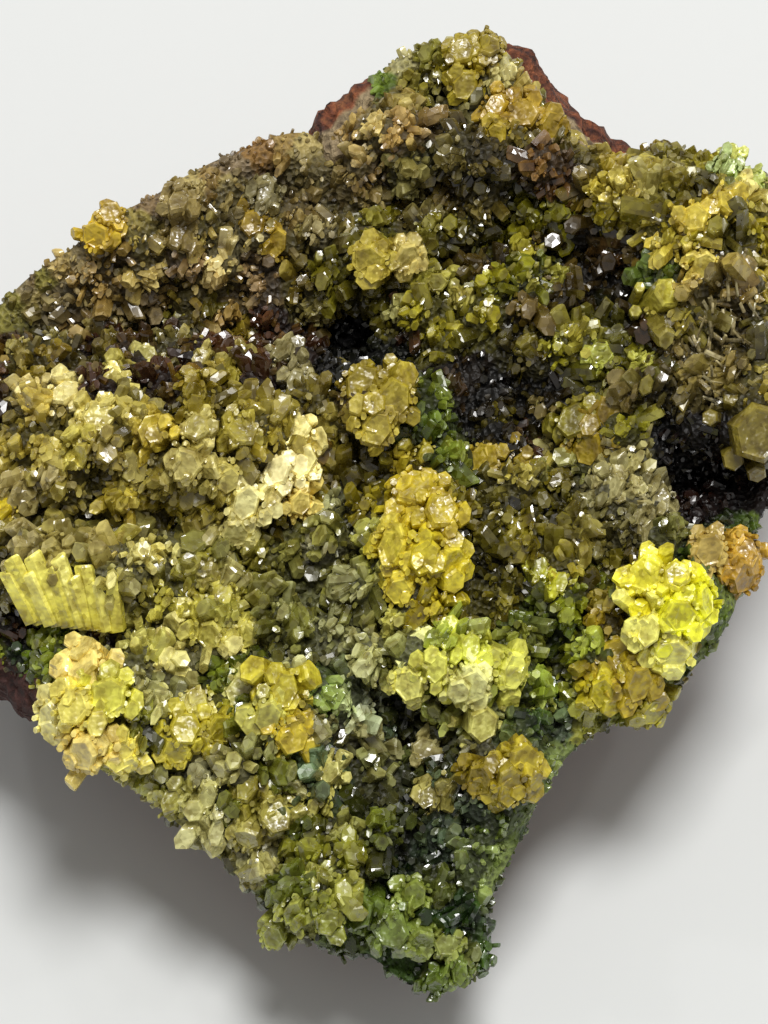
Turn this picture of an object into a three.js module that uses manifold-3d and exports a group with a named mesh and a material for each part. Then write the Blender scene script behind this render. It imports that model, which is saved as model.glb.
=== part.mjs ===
// Pyromorphite specimen. A broken lump of rusty iron-oxide rock lies on a flat patch. Its upper
// face is hidden under a crust of six-sided crystals, and larger yellow crystal groups of a
// later growth stand on that crust.
// Units are millimetres, +Z is up, and the origin is the middle of the patch that it rests on.
// The crystal face is laid out in a frame of its own that leans back from the front: "across"
// runs to the right, "up" runs up the face and "out" stands away from it.
import * as THREE from "three";
import { mergeVertices } from "three/addons/utils/BufferGeometryUtils.js";
import Module from "manifold-3d";

const wasm = await Module();
wasm.setup();

// Driving dimensions of the whole and of the face
const FACE_LEAN = 28; // degrees between the face's out direction and the vertical
const FACE_LIFT = 18; // height of the face frame's origin above the resting patch
const FACE_FALL = -0.25; // how much the face falls back for each millimetre up it
const RIM_START = 0.8; // share of the way from the middle to the rim where the face rolls over
const RIM_DROP = 3.2; // how far it has rolled over at the rim
const RIM_MEAN = 25; // the outline's mean distance from its middle
const GAP = 0.3; // clearance between solids that sit against each other
const MERGE = 0.08; // facets smaller than this are merged away

// The rock
const ROCK_DEPTH = 10; // how deep its face lies under the crust's mean surface
const ROCK_INSET = 0.95; // its share of the outline where the crust wraps the rim
const BARE_START = 0.78; // share of the way to the rim where its face starts to come up
const BARE_END = 0.96; // share where its face has come up to the crust
const SIDE_DROP = 0.62; // share of its height that its side drops before it tucks in
const SIDE_WEAR = 1.4; // how deep its side's chips go
const SIDE_SPARE = 1.6; // how far a cutter's side stands out, as a share of its clearance
const BASE_SHARE = 0.68; // the resting patch's share of the outline, seen from above
const SIDE_RINGS = 4;
const ROCK_AROUND = 48; // points around its rim
const ROCK_RINGS = [
  { share: 0.4, count: 12 },
  { share: 0.7, count: 24 },
  { share: 0.84, count: ROCK_AROUND },
  { share: 0.93, count: ROCK_AROUND },
  { share: 1, count: ROCK_AROUND },
];

// The crust
const CRUST = 2.2; // its thickness at the rim
const CRUST_LUMPS = 0.45; // how far its surface is knobbly either way
const CRUST_RINGS = 10; // rings of its face, each with six points more than the last
const CRUST_CORE = -16; // depth inside the rock of the point that closes the uncut crust
const LIP = 3.6; // how far it hangs down over the rim
const BARE_CRUST = 0.94; // its share of the outline where the rock's rim is bare

// The crystals
const TAPER = 0.88; // a crystal's top radius as a share of its foot's
const ROOT = 0.9; // how deep a crystal's foot goes below the crust's surface
const SPREAD = 0.3; // how much the crystals of a group differ in radius and height
const FALL_OFF = 0.3; // how much lower the crystals at a group's edge are
const SPIRAL = 2.4; // angle between one crystal of a group and the next, in radians

// The specimen's outline as seen square to the face, as [across, up], clockwise from the left
const OUTLINE = [
  [-24, 14.2], [-20.1, 16.8], [-18.2, 18.6], [-16, 19.4], [-11.5, 22.1], [-6.8, 24],
  [-4.5, 24.5], [-1.5, 27.1], [0.7, 29.2], [4.1, 30.3], [8.2, 30.5], [11, 28.2],
  [13.5, 25], [18.5, 23.2], [22.2, 22.4], [26, 20.4], [28.4, 13.9], [28.2, 8.9],
  [25.4, 1.4], [23.4, -3], [22.2, -7.1], [19.8, -10.5], [16.9, -13.1], [13, -14.9],
  [10.3, -17.7], [9, -20.4], [6.6, -25.2], [6.4, -28.5], [4.9, -30.3], [1.9, -30.2],
  [-1, -28.5], [-4.6, -27.5], [-9.9, -23], [-15.2, -18.5], [-19.3, -15.8], [-19.6, -14.2],
  [-24, -12.1], [-27.9, -8.6], [-30.6, -0.5], [-30.6, 4.5], [-29.3, 8.6],
];

// Stretches of the rim where bare rock shows past the crust, in degrees counted anticlockwise
// from the right as seen square to the face
const BARE_RIM = [
  { name: "right flank of the peak", from: 55, to: 78 },
  { name: "left flank of the peak", from: 92, to: 99 },
  { name: "lower left corner", from: 198, to: 216 },
];
const BARE_FADE = 3; // degrees over which the crust runs out

// Mounds, ribs and hollows of the face: name, middle [across, up], half widths along and
// across their own length, turn of that length in degrees, and rise out of the face
const LANDFORMS = [
  landform("back ridge", [-13, 20.5], [14, 3], 28, 3.2),
  landform("peak mound", [4.5, 27], [7, 4], 0, 1.5),
  landform("peak bowl", [3.5, 26.2], [4, 2.2], 0, -2),
  landform("saddle rib", [9.1, 21.7], [8, 1.8], -5, 2.2),
  landform("left valley", [-16.5, 11], [14, 4.5], 8, -5),
  landform("deep hole", [-2.1, 9.9], [3, 2.4], 0, -5.8),
  landform("valley pit", [-9, 10.1], [1.8, 1.6], 0, -2.8),
  landform("left mound", [-18.4, 5.1], [6, 5], 0, 3.8),
  landform("middle mound", [-10.3, 3.9], [6, 4.5], 0, 3.8),
  landform("slot by the hook", [-4, 2.6], [1.5, 2.6], 0, -4),
  landform("slot by the castle", [0.2, 2.7], [1.8, 2], 0, -3.2),
  landform("boss seat", [-0.6, 6.1], [4, 3], 0, 3.2),
  landform("castle seat", [2.6, -3], [4, 5], 0, 3),
  landform("brown hollow", [7.3, 4.5], [5, 4], 0, -2),
  landform("hollow under the peak", [1.6, 18.7], [2.6, 2.6], 0, -4.2),
  landform("honey rib", [0.6, 15.8], [4.4, 1.6], 24, 2.8),
  landform("green hollow", [8, 17], [3, 2.2], 0, -3.2),
  landform("dark hollow", [14.8, 15.1], [3.6, 2.4], 20, -3.8),
  landform("right shoulder", [20, 17], [5, 6], 0, 3.5),
  landform("right mound", [22.6, 7.2], [4, 5], 0, 3),
  landform("right cavity", [20.2, 1.7], [3.4, 1.9], 10, -6.8),
  landform("narrow cleft", [10.3, 3.4], [1.2, 3], 0, -3),
  landform("lemon seat", [17.2, -6.2], [4, 4], 0, 3.5),
  landform("lemon cleft", [13.7, -5], [1.3, 3], 0, -2.8),
  landform("lower cleft", [10.1, -11.9], [1.5, 2.6], 0, -3.5),
  landform("ledge seat", [4, -10], [6, 2], 0, 2.2),
  landform("comb shelf", [-19.3, -4.6], [5, 2.4], 0, 2.8),
  landform("comb undercut", [-20.3, -8.4], [4.4, 1.4], 0, -3.2),
  landform("corner seat", [-17.6, -12.6], [3.6, 4.4], 0, 3.5),
  landform("red pit", [-9, -11.2], [1.5, 1.3], 0, -2.8),
  landform("twin seat", [-7, -12.2], [3.4, 3.4], 0, 2.2),
  landform("lower hollow", [1, -15.6], [4, 4.6], 0, -2.5),
  landform("lower slot", [-5.6, -21.6], [2.6, 1.1], -15, -2.8),
  landform("lower rib", [-3.6, -24.2], [5, 2], 30, 1.8),
  landform("speckled seat", [7.3, -16.4], [3, 2.6], 0, 2.2),
];

// Groups of crystals: name, middle on the face, half widths and turn of the patch that a group
// grows from, how many main crystals it has, their radius and height, which way they lean
// [across, up], how much they splay, and the finish of a later group. A later group is a piece
// of its own. The others belong to the crust.
const GROUPS = [
  group("comb_plate", [-19.2, -5.6], [2.6, 0.6], -6, 5, [1, 2.8], [-0.3, 0.75], 0.25, "straw"),
  group("left_knob", [-23.8, -1.2], [0.8, 1], 0, 2, [1, 1.7], [-0.2, 0.1], 0.4, "gold"),
  group("corner_castle", [-17.6, -13], [2.2, 2.8], 12, 6, [1.3, 2.5], [-0.25, -0.15], 0.5, "straw"),
  group("stepped_log", [-11.6, -13.7], [2.4, 1.1], 20, 4, [1.15, 2.1], [0.25, 0.1], 0.35, "lemon"),
  group("twin_blocks", [-7.1, -12], [1.2, 2.1], 28, 4, [1.4, 2.3], [0.05, -0.1], 0.4, "gold"),
  group("golden_castle", [2.4, -2.4], [2, 2.9], -12, 6, [1.3, 2.7], [0, 0.1], 0.55, "gold"),
  group("honey_boss", [-0.5, 6.3], [1.9, 1.5], 10, 4, [1.35, 2.1], [0.1, 0.05], 0.5, "honey"),
  group("cream_hook", [-5.9, 1.6], [0.9, 2.5], -10, 4, [1.15, 2.5], [0.1, 0.1], 0.35, "cream"),
  group("cream_boss", [-8.4, -0.4], [1, 1.1], 0, 2, [1.3, 2], [0, -0.3], 0.35, "cream"),
  group("lime_ledge", [4.2, -10], [3.6, 1.3], 4, 6, [1.25, 2.2], [0.1, -0.15], 0.5, "lime"),
  group("hexagon_tablet", [5.7, -13.2], [0, 0], 0, 1, [1.15, 2.6], [0.18, -0.2], 0, "straw"),
  group("speckled_boss", [7.4, -16.5], [1.3, 1.1], 0, 3, [1.25, 2.2], [0.15, -0.15], 0.45, "honey"),
  group("lemon_castle", [17.3, -6.4], [1.6, 2.3], -20, 6, [1.2, 2.7], [0.1, 0.1], 0.55, "lemon"),
  group("amber_cluster", [21, -3.2], [1.6, 1.1], 0, 3, [1.3, 2], [0.4, -0.1], 0.45, "amber"),
  group("gold_slab", [14.6, -11.2], [2, 1.6], -35, 4, [1.3, 2.1], [0.2, -0.3], 0.45, "gold"),
  group("barrel_pair", [13, 4.7], [1.8, 1], -10, 3, [1.3, 2.2], [-0.2, -0.1], 0.5, "honey"),
  group("pale_barrel", [22.9, 4.5], [0, 0], 0, 1, [1.9, 3], [0.1, -0.1], 0, "honey"),
  group("lime_chip", [16.8, 12.2], [0, 0], 0, 1, [1, 2.7], [0.35, 0.35], 0, "lime"),
  group("lime_fan", [9.8, -5.4], [0.9, 0.5], 30, 2, [0.9, 2.1], [0.2, 0.35], 0.5, "lime"),
  group("honey_row", [7.6, 2.1], [2, 0.7], 0, 3, [1.2, 1.9], [0, 0.1], 0.4, "honey"),
  group("peak_gold", [8.6, 24.2], [2, 1.1], 10, 4, [1.1, 2.2], [0, -0.1], 0.5, "gold"),
  group("peak_crown", [5.4, 28], [1.1, 1.4], 0, 3, [1.05, 1.9], [0, 0.1], 0.5, "honey"),
  group("rib_boss", [0.2, 15.7], [1.4, 0.8], 24, 2, [1.15, 1.9], [-0.1, -0.1], 0.4, "straw"),
  group("clover", [1.6, 2.8], [0.8, 0.6], 0, 3, [0.85, 1.8], [0, 0], 0.5, "gold"),
  group("ridge_knob", [-17.7, 17.2], [0.6, 0.8], -30, 2, [1.05, 1.7], [-0.3, 0.2], 0.4, "gold"),
  group("left mound", [-18.6, 5.2], [2.2, 2.4], 0, 4, [1.15, 2], [0, 0.1], 0.5),
  group("valley fan", [-16, 8.2], [1.1, 0.9], 0, 2, [1, 1.9], [0.3, 0.2], 0.4),
  group("middle mound", [-11.2, 3.6], [3.2, 2.2], 0, 5, [1.1, 2], [0, 0.1], 0.5),
  group("valley boss", [-10.4, 8.8], [1.5, 1.2], 0, 2, [1, 1.9], [0, 0.1], 0.5),
  group("grey mass", [-4.8, 8.1], [2.2, 1.8], 0, 3, [1, 1.9], [0.1, 0.1], 0.5),
  group("olive boulder", [-10.9, -7], [2.2, 2], 0, 4, [1.25, 1.9], [0, -0.1], 0.5),
  group("tan mass", [-7.6, -18.6], [2, 1.4], 0, 3, [1.1, 1.9], [0, -0.1], 0.5),
  group("sparkling block", [-11.4, -18.5], [1.6, 1.6], 0, 3, [1.15, 1.9], [-0.1, 0], 0.5),
  group("lower straw", [-3.5, -17.6], [1, 1.1], 0, 2, [0.9, 2], [0.1, 0.1], 0.5),
  group("lower ribs", [-4.4, -24.4], [3, 1.2], 30, 4, [1, 1.8], [0, -0.1], 0.45),
  group("tan column", [3.2, -17.4], [0.9, 2.4], 0, 3, [1, 1.8], [0, -0.1], 0.4),
  group("green blocks", [0.4, -24.8], [2.2, 2.2], 0, 4, [1.15, 1.7], [0.1, -0.1], 0.4),
  group("tip blocks", [4, -28], [1.4, 1.4], 0, 3, [1, 1.4], [0, -0.1], 0.4),
  group("grey bench", [16, 0], [2.6, 1.5], -10, 3, [1.2, 1.8], [0, 0], 0.4),
  group("long prisms", [15, 19.2], [1.4, 1.1], -40, 3, [0.7, 2.7], [-0.5, 0.5], 0.35),
  group("shoulder group", [19.8, 16.8], [2.2, 2.6], 0, 4, [1.05, 2], [0.1, 0], 0.5),
  group("teal corner", [22.4, 21], [1.6, 0.9], -10, 3, [0.85, 1.5], [0, 0.1], 0.5),
  group("right edge group", [24.6, 12.8], [1.4, 2.6], 0, 3, [1.05, 1.8], [0.3, 0], 0.4),
  group("green prisms", [8.6, 14.4], [2.2, 1.8], 0, 4, [0.75, 2.1], [0, 0], 0.7),
  group("lime shelf", [15, 8.4], [2.2, 0.7], 5, 2, [0.8, 2], [0.3, 0.2], 0.4),
  group("rib slope", [3, 13], [2.2, 1.6], 20, 3, [0.85, 1.9], [0, -0.1], 0.5),
  group("ridge wedge", [-12.6, 18.2], [1, 1.3], 0, 2, [1.2, 1.6], [0, 0.2], 0.3),
  group("ridge boss", [-7.6, 17.8], [1.2, 1.8], 0, 3, [1.15, 1.6], [0, -0.1], 0.4),
  group("green nodule", [-12.4, 12.8], [1.3, 1.5], 0, 2, [1.2, 1.6], [0, 0], 0.4),
  group("far left group", [-27, 3.4], [1.6, 3], 0, 2, [1.1, 1.7], [-0.3, 0], 0.4),
];
const GROUP_COLOURS = {
  straw: 0xcabb63,
  gold: 0xc8a937,
  honey: 0xa3912f,
  cream: 0xd0c484,
  lime: 0xcdd065,
  lemon: 0xd8d648,
  amber: 0xb8924a,
};

function landform(name, at, half, turn, rise) {
  return { name, at, half, turn, rise };
}

function group(name, at, half, turn, count, [radius, height], lean, splay, finish) {
  return { name, at, half, turn, count, radius, height, lean, splay, finish };
}

// A number from 0 to 1 that looks random and is the same each time for a seed and a channel
function chance(seed, channel) {
  const value = Math.sin(seed * 12.9898 + channel * 78.233) * 43758.5453;
  return value - Math.floor(value);
}

// How strongly a landform acts at a point of the face
function bell(across, up, form) {
  const turn = THREE.MathUtils.degToRad(form.turn);
  const x = across - form.at[0];
  const y = up - form.at[1];
  const along = (x * Math.cos(turn) + y * Math.sin(turn)) / form.half[0];
  const over = (y * Math.cos(turn) - x * Math.sin(turn)) / form.half[1];
  return Math.exp(-along * along - over * over);
}

// The face's height out of its frame, before the rim rolls over
function faceOut(across, up) {
  return LANDFORMS.reduce(
    (out, form) => out + form.rise * bell(across, up, form),
    FACE_FALL * up,
  );
}

// How far the face has rolled over at a share of the way to the rim
function rimDrop(share) {
  const over = THREE.MathUtils.clamp((share - RIM_START) / (1 - RIM_START), 0, 1);
  return RIM_DROP * (1 - Math.sqrt(1 - over * over));
}

// 1 where the crust wraps the rim and 0 where the rock is bare
function cover(across, up) {
  const angle = (THREE.MathUtils.radToDeg(Math.atan2(up, across)) + 360) % 360;
  const { smoothstep } = THREE.MathUtils;
  return BARE_RIM.reduce((covered, bare) => {
    const inside =
      smoothstep(angle, bare.from - BARE_FADE, bare.from) *
      (1 - smoothstep(angle, bare.to, bare.to + BARE_FADE));
    return covered * (1 - inside);
  }, 1);
}

// The outline as a closed smooth curve, and evenly spaced points along it
const rimCurve = new THREE.CatmullRomCurve3(
  OUTLINE.map(([across, up]) => new THREE.Vector3(across, up, 0)),
  true,
  "catmullrom",
  0.5,
);

function rimPoints(count) {
  return rimCurve.getSpacedPoints(count).slice(0, count);
}

const crustRim = rimPoints(6 * CRUST_RINGS);
const rockRim = rimPoints(ROCK_AROUND);

// The triangles between two closed rings that may differ in how many points they have
function stitch(inner, outer) {
  const triangles = [];
  const at = (ring, i) => ring.first + (i % ring.count);
  let i = 0;
  let j = 0;
  while (i < inner.count || j < outer.count) {
    if (i < inner.count && (i + 1) / inner.count <= (j + 1) / outer.count) {
      triangles.push([at(inner, i), at(inner, i + 1), at(outer, j)]);
      i += 1;
    } else {
      triangles.push([at(inner, i), at(outer, j + 1), at(outer, j)]);
      j += 1;
    }
  }
  return triangles;
}

// A closed solid from rings of points: it starts in a single point and ends in another point,
// or in a flat cap across the last ring
function solidFromRings(start, rings, end) {
  const places = [start, ...rings.flat()];
  let first = 1;
  const spans = rings.map((ring) => {
    const span = { first, count: ring.length };
    first += ring.length;
    return span;
  });
  const triangles = spans.slice(1).flatMap((span, i) => stitch(spans[i], span));
  const top = spans[0];
  for (let i = 0; i < top.count; i++) {
    triangles.push([0, top.first + ((i + 1) % top.count), top.first + i]);
  }
  const last = spans[spans.length - 1];
  if (end) {
    places.push(end);
    for (let i = 0; i < last.count; i++) {
      triangles.push([first, last.first + i, last.first + ((i + 1) % last.count)]);
    }
  } else {
    const flat = rings[rings.length - 1].map(onFloor).map(({ x, y }) => new THREE.Vector2(x, y));
    for (const [a, b, c] of THREE.ShapeUtils.triangulateShape(flat, [])) {
      triangles.push([last.first + a, last.first + c, last.first + b]);
    }
  }
  return solidFrom(new Float32Array(places.flatMap((p) => p.toArray())), triangles.flat());
}

function solidFrom(vertProperties, corners) {
  const triVerts = new Uint32Array(corners);
  return new wasm.Manifold(new wasm.Mesh({ numProp: 3, vertProperties, triVerts }));
}

// Between the face's frame and the specimen's own
const leanBack = new THREE.Matrix4()
  .makeRotationX(THREE.MathUtils.degToRad(FACE_LEAN))
  .setPosition(0, 0, FACE_LIFT);
const leanForward = leanBack.clone().invert();

function onFloor(point) {
  return point.clone().applyMatrix4(leanBack);
}

// A point of the rock's side under a point of its rim: the side drops along the line of sight
// on the face at first and then tucks in to the resting patch. push moves it outward.
function sidePoint(top, share, push) {
  const knee = top.clone().setZ(top.z - SIDE_DROP * onFloor(top).z);
  const foot = onFloor(top)
    .multiply(new THREE.Vector3(BASE_SHARE, BASE_SHARE, 0))
    .applyMatrix4(leanForward);
  const side = new THREE.QuadraticBezierCurve3(top, knee, foot).getPoint(share);
  return side.add(new THREE.Vector3(side.x, side.y, 0).normalize().multiplyScalar(push));
}

// A point of the rock's face, at a share of the way to a point of the outline. It lies deep
// under the crust and comes up to the face where the rim is bare.
function rockPoint(point, share, spare) {
  const { lerp, smoothstep } = THREE.MathUtils;
  const covered = cover(point.x, point.y);
  const wider = (spare / RIM_MEAN) * smoothstep(share, 0.93, 1);
  const reach = share * (lerp(1, ROCK_INSET, covered) + wider);
  const x = point.x * reach;
  const y = point.y * reach;
  const rise = smoothstep(share, BARE_START, BARE_END);
  const edge = faceOut(x, y) - rimDrop(share) - CRUST * covered;
  return new THREE.Vector3(x, y, lerp(FACE_FALL * y - ROCK_DEPTH, edge, rise) + spare);
}

// The rock, from the middle of its face over the rim to the resting patch. spare grows it into
// a cutter for its neighbours.
function rockSolid(spare) {
  const rings = ROCK_RINGS.map(({ share, count }) =>
    rimPoints(count).map((point) => rockPoint(point, share, spare)),
  );
  for (let ring = 1; ring <= SIDE_RINGS; ring++) {
    const wear = ring < SIDE_RINGS ? SIDE_WEAR : 0;
    rings.push(rockRim.map((point, i) => {
      const push = SIDE_SPARE * spare - wear * chance(i + ROCK_AROUND * ring, 3);
      return sidePoint(rockPoint(point, 1, 0), ring / SIDE_RINGS, push);
    }));
  }
  return solidFromRings(rockPoint(new THREE.Vector3(), 0, spare), rings, null);
}

// The crust before it is cut by the rock: the face, a lip over the rim, and a point deep
// inside the rock that closes it. spare grows it into a cutter for what stands on it.
function crustSolid(spare) {
  const crustPoint = (point, share, down, seed) => {
    const covered = cover(point.x, point.y);
    const wider = (spare / RIM_MEAN) * THREE.MathUtils.smoothstep(share, RIM_START, 1);
    const reach = share * THREE.MathUtils.lerp(BARE_CRUST, 1, covered);
    const x = point.x * (reach + wider);
    const y = point.y * (reach + wider);
    const lump = CRUST_LUMPS * (2 * chance(seed, 5) - 1);
    return new THREE.Vector3(x, y, faceOut(x, y) + lump - rimDrop(reach) - down + spare);
  };
  const rings = [];
  for (let ring = 1; ring <= CRUST_RINGS; ring++) {
    const points = rimPoints(6 * ring);
    rings.push(points.map((p, i) => crustPoint(p, ring / CRUST_RINGS, 0, i + 100 * ring)));
  }
  rings.push(crustRim.map((p, i) => crustPoint(p, 1, LIP, i)));
  const middle = crustPoint(new THREE.Vector3(), 0, 0, 0);
  return solidFromRings(middle, rings, new THREE.Vector3(0, 0, CRUST_CORE));
}

// The main crystals of a group, as places, directions and sizes in the face's frame. They
// stand in a spiral from the patch's middle to its edge.
function crystalsOf(group, index) {
  const turn = THREE.MathUtils.degToRad(group.turn);
  return Array.from({ length: group.count }, (_, i) => {
    const seed = 100 * (index + 1) + i;
    const varied = (channel) => 1 + SPREAD * (chance(seed, channel) - 0.5);
    const share = group.count > 1 ? Math.sqrt((i + 0.5) / group.count) : 0;
    const angle = i * SPIRAL + index;
    const along = group.half[0] * share * Math.cos(angle);
    const over = group.half[1] * share * Math.sin(angle);
    const x = group.at[0] + along * Math.cos(turn) - over * Math.sin(turn);
    const y = group.at[1] + along * Math.sin(turn) + over * Math.cos(turn);
    const direction = new THREE.Vector3(
      group.lean[0] + group.splay * share * Math.cos(angle + turn),
      group.lean[1] + group.splay * share * Math.sin(angle + turn),
      1,
    );
    return {
      foot: new THREE.Vector3(x, y, surfaceOut(x, y)),
      direction: direction.normalize(),
      radius: group.radius * varied(1),
      height: group.height * (1 - FALL_OFF * share * share) * varied(2),
      twist: chance(seed, 4) * Math.PI,
    };
  });
}

// The crust's surface at a point of the face, with the rim rolled over
function surfaceOut(across, up) {
  const share = Math.hypot(across, up) / rimRadius(Math.atan2(up, across));
  return faceOut(across, up) - rimDrop(share);
}

// The outline's distance from the middle in a direction
function rimRadius(angle) {
  const side = new THREE.Vector2(Math.cos(angle), Math.sin(angle));
  let reach = 0;
  crustRim.forEach((p, i) => {
    const q = crustRim[(i + 1) % crustRim.length];
    const across = p.x * side.y - p.y * side.x;
    const next = q.x * side.y - q.y * side.x;
    if (across * next <= 0 && p.x * side.x + p.y * side.y > 0 && across !== next) {
      reach = p.clone().lerp(q, across / (across - next)).length();
    }
  });
  return reach;
}

function solidOf(geometry) {
  geometry.deleteAttribute("normal");
  geometry.deleteAttribute("uv");
  const merged = mergeVertices(geometry, 1e-4);
  return solidFrom(merged.attributes.position.array, merged.index.array);
}

// Turns a geometry that stands on +Y to stand on a foot in a direction
function stand(geometry, foot, direction) {
  const turn = new THREE.Quaternion().setFromUnitVectors(THREE.Object3D.DEFAULT_UP, direction);
  return geometry.applyQuaternion(turn).translate(...foot.toArray());
}

// A six-sided prism that stands on its foot. spare grows it into the cutter of its neighbours.
function crystalSolid(crystal, spare) {
  const radius = crystal.radius + spare;
  const length = crystal.height + ROOT + 2 * spare;
  const prism = new THREE.CylinderGeometry(radius * TAPER, radius, length, 6);
  prism.rotateY(crystal.twist);
  prism.translate(0, length / 2 - ROOT - spare, 0);
  return solidOf(stand(prism, crystal.foot, crystal.direction));
}

function crystalSolids(crystals, spare) {
  return crystals.map((crystal) => crystalSolid(crystal, spare));
}

// Whether a crystal of the crust leaves room for a crystal of a later group
function standsClear(crystal, other) {
  return crystal.foot.distanceTo(other.foot) > crystal.radius + other.radius + GAP;
}

function union(solids) {
  return solids.reduce((whole, solid) => whole.add(solid));
}

function largest(solid) {
  return solid.decompose().reduce((a, b) => (b.volume() > a.volume() ? b : a));
}

function meshOf(name, solid, colour, roughness) {
  const { vertProperties, triVerts } = solid.simplify(MERGE).getMesh();
  const geometry = new THREE.BufferGeometry();
  geometry.setAttribute("position", new THREE.BufferAttribute(vertProperties, 3));
  geometry.setIndex(new THREE.BufferAttribute(triVerts, 1));
  const material = new THREE.MeshStandardMaterial({ color: colour, roughness, metalness: 0 });
  const mesh = new THREE.Mesh(geometry, material);
  mesh.name = name;
  return mesh;
}

// All pieces share one group that leans back and is lifted off the resting patch
const face = new THREE.Group();
face.rotation.x = THREE.MathUtils.degToRad(FACE_LEAN);
face.position.z = FACE_LIFT;

face.add(meshOf("rock_matrix", rockSolid(0), 0x6e452b, 0.95));
const rockCutter = rockSolid(GAP);

const grown = GROUPS.map((group, index) => ({ group, crystals: crystalsOf(group, index) }));
const later = grown.filter(({ group }) => group.finish);
const laterCrystals = later.flatMap(({ crystals }) => crystals);
const crustCrystals = grown
  .filter(({ group }) => !group.finish)
  .flatMap(({ crystals }) => crystals)
  .filter((crystal) => laterCrystals.every((other) => standsClear(crystal, other)));

// The crust, with its own crystals fused on
const crust = union([crustSolid(0), ...crystalSolids(crustCrystals, 0)]).subtract(rockCutter);
face.add(meshOf("crystal_crust", largest(crust), 0x5f5a2a, 0.4));

// The later groups, each cut clear of the crust, the rock and the groups before it
let taken = union([rockCutter, crustSolid(GAP), ...crystalSolids(crustCrystals, GAP)]);
for (const { group, crystals } of later) {
  const solid = union(crystalSolids(crystals, 0)).subtract(taken);
  face.add(meshOf(group.name, largest(solid), GROUP_COLOURS[group.finish], 0.35));
  taken = union([taken, ...crystalSolids(crystals, GAP)]);
}

export default face;
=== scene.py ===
"""The looks of a pyromorphite specimen: rusty rock under a crust of six-sided crystals.

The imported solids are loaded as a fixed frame, and the detailed pieces are grown around them.
Tables give lengths in millimetres on the crystal face, as across, up and out of it. Meshes are
in metres in the specimen's own frame.
"""

import math
from collections import namedtuple

import bpy
import numpy as np
from bpy.props import FloatProperty, FloatVectorProperty, IntProperty, PointerProperty
from mathutils import Matrix, Vector
from mathutils.kdtree import KDTree


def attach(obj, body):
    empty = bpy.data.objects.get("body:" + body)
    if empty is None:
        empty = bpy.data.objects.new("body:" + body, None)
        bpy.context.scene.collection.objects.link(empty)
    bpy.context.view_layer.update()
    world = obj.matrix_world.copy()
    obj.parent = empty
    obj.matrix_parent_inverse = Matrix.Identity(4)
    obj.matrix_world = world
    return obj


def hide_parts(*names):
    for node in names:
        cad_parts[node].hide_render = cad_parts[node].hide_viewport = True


bl_info = {
    "name": "Pyromorphite specimen",
    "version": (1, 0, 0),
    "blender": (4, 5, 0),
    "location": "3D View > Sidebar > Specimen",
    "description": "Grows a crystal crust, crystal groups and weathered rock around solids",
    "category": "Add Mesh",
}

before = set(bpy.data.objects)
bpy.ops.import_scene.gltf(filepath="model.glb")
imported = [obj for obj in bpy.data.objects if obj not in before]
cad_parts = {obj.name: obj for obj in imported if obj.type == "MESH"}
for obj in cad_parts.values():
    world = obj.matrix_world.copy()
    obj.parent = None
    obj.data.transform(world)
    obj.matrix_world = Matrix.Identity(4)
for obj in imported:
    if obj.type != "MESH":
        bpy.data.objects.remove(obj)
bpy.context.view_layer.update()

MM = 0.001

# The face's frame leans back from the front and is lifted off the resting patch. The face falls
# away towards the back, and its rim drops in a round edge
FACE_LEAN = 28
FACE_LIFT = 18
FACE_FALL = -0.25
RIM_START = 0.8
RIM_DROP = 3.2

# The face's area, by which tufts are counted, and how finely the way to its rim is measured
FACE_AREA = 3000
RIM_STEPS = 720

# The rock lies deep under the face's middle and rises to the rim, inside the crust. Its side
# drops along the line of sight and then tucks in to the resting patch
ROCK_DEPTH = 10
ROCK_INSET = 0.95
BARE_START = 0.72
BARE_END = 0.87
SIDE_DROP = 0.62
BASE_SHARE = 0.68

# How finely the rock is made: points around a ring, and the rings of its top, side and foot
ROCK_AROUND = 560
ROCK_TOP_RINGS = [0.3, 0.6, *np.linspace(0.74, 1, 26)]
ROCK_SIDE_RINGS = np.linspace(0, 1, 64)[1:]
ROCK_FOOT_RINGS = (0.85, 0.6, 0.3)

# How far above the resting patch the rock is fully chipped
CHIPS_FROM = 2.5

# The rock's pale skin fades over these shares of the way out, and lies above this height
SKIN_FADE = (0.93, 0.985)
SKIN_ABOVE = 15

# Where the rock is dark maroon, as middle, half widths and turn, and how strongly, up to 1
MAROON_ROCK = ((-25, -12), (7, 4), -30)
MAROON_STRENGTH = 1.3

# The crust's thickness at the rim, how far it hangs over and tucks in, how far its underside
# dips, and how far out its ground goes, as a share of the way to the outline
CRUST = 2.2
LIP = 3.6
LIP_TUCK = 0.075
UNDER_DIP = 4
CRUST_INSET = 0.975

# Where the crust stops on a bare rim, and over how many degrees a bare stretch begins and ends
BARE_CRUST = 0.94
BARE_FADE = 3

# How finely the crust's ground is made, as rings of its face and of its lip
FACE_RINGS = 96
LIP_RINGS = 9

# How the main crystals of a group differ, get shorter outwards and follow each other round, as
# in the solids, and how deep crystals are rooted
SPREAD = 0.3
FALL_OFF = 0.3
SPIRAL = 2.4
ROOT = 0.9

# How finely a crystal is made, as the rings of points that it has
PLAIN = 2
CHAMFERED = 3
RIMMED = 4

# How wide a crystal is, over its foot: at a plain end, below and above a chamfer, in a rim
PLAIN_END = 0.88
CHAMFER_FOOT = 0.94
CHAMFER_TOP = 0.78
RIM_INSIDE = 0.66

# Over the crystal's radius: how deep a rim is, how far an end is hollowed and how high a chamfer
# is. The chamfer is limited over the crystal's height. Uneven crystals are also flatter
RIM_DEPTH = 0.03
END_HOLLOW = 0.04
CHAMFER = 0.2
CHAMFER_LIMIT = 0.3
FLATTER = 2.4

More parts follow.
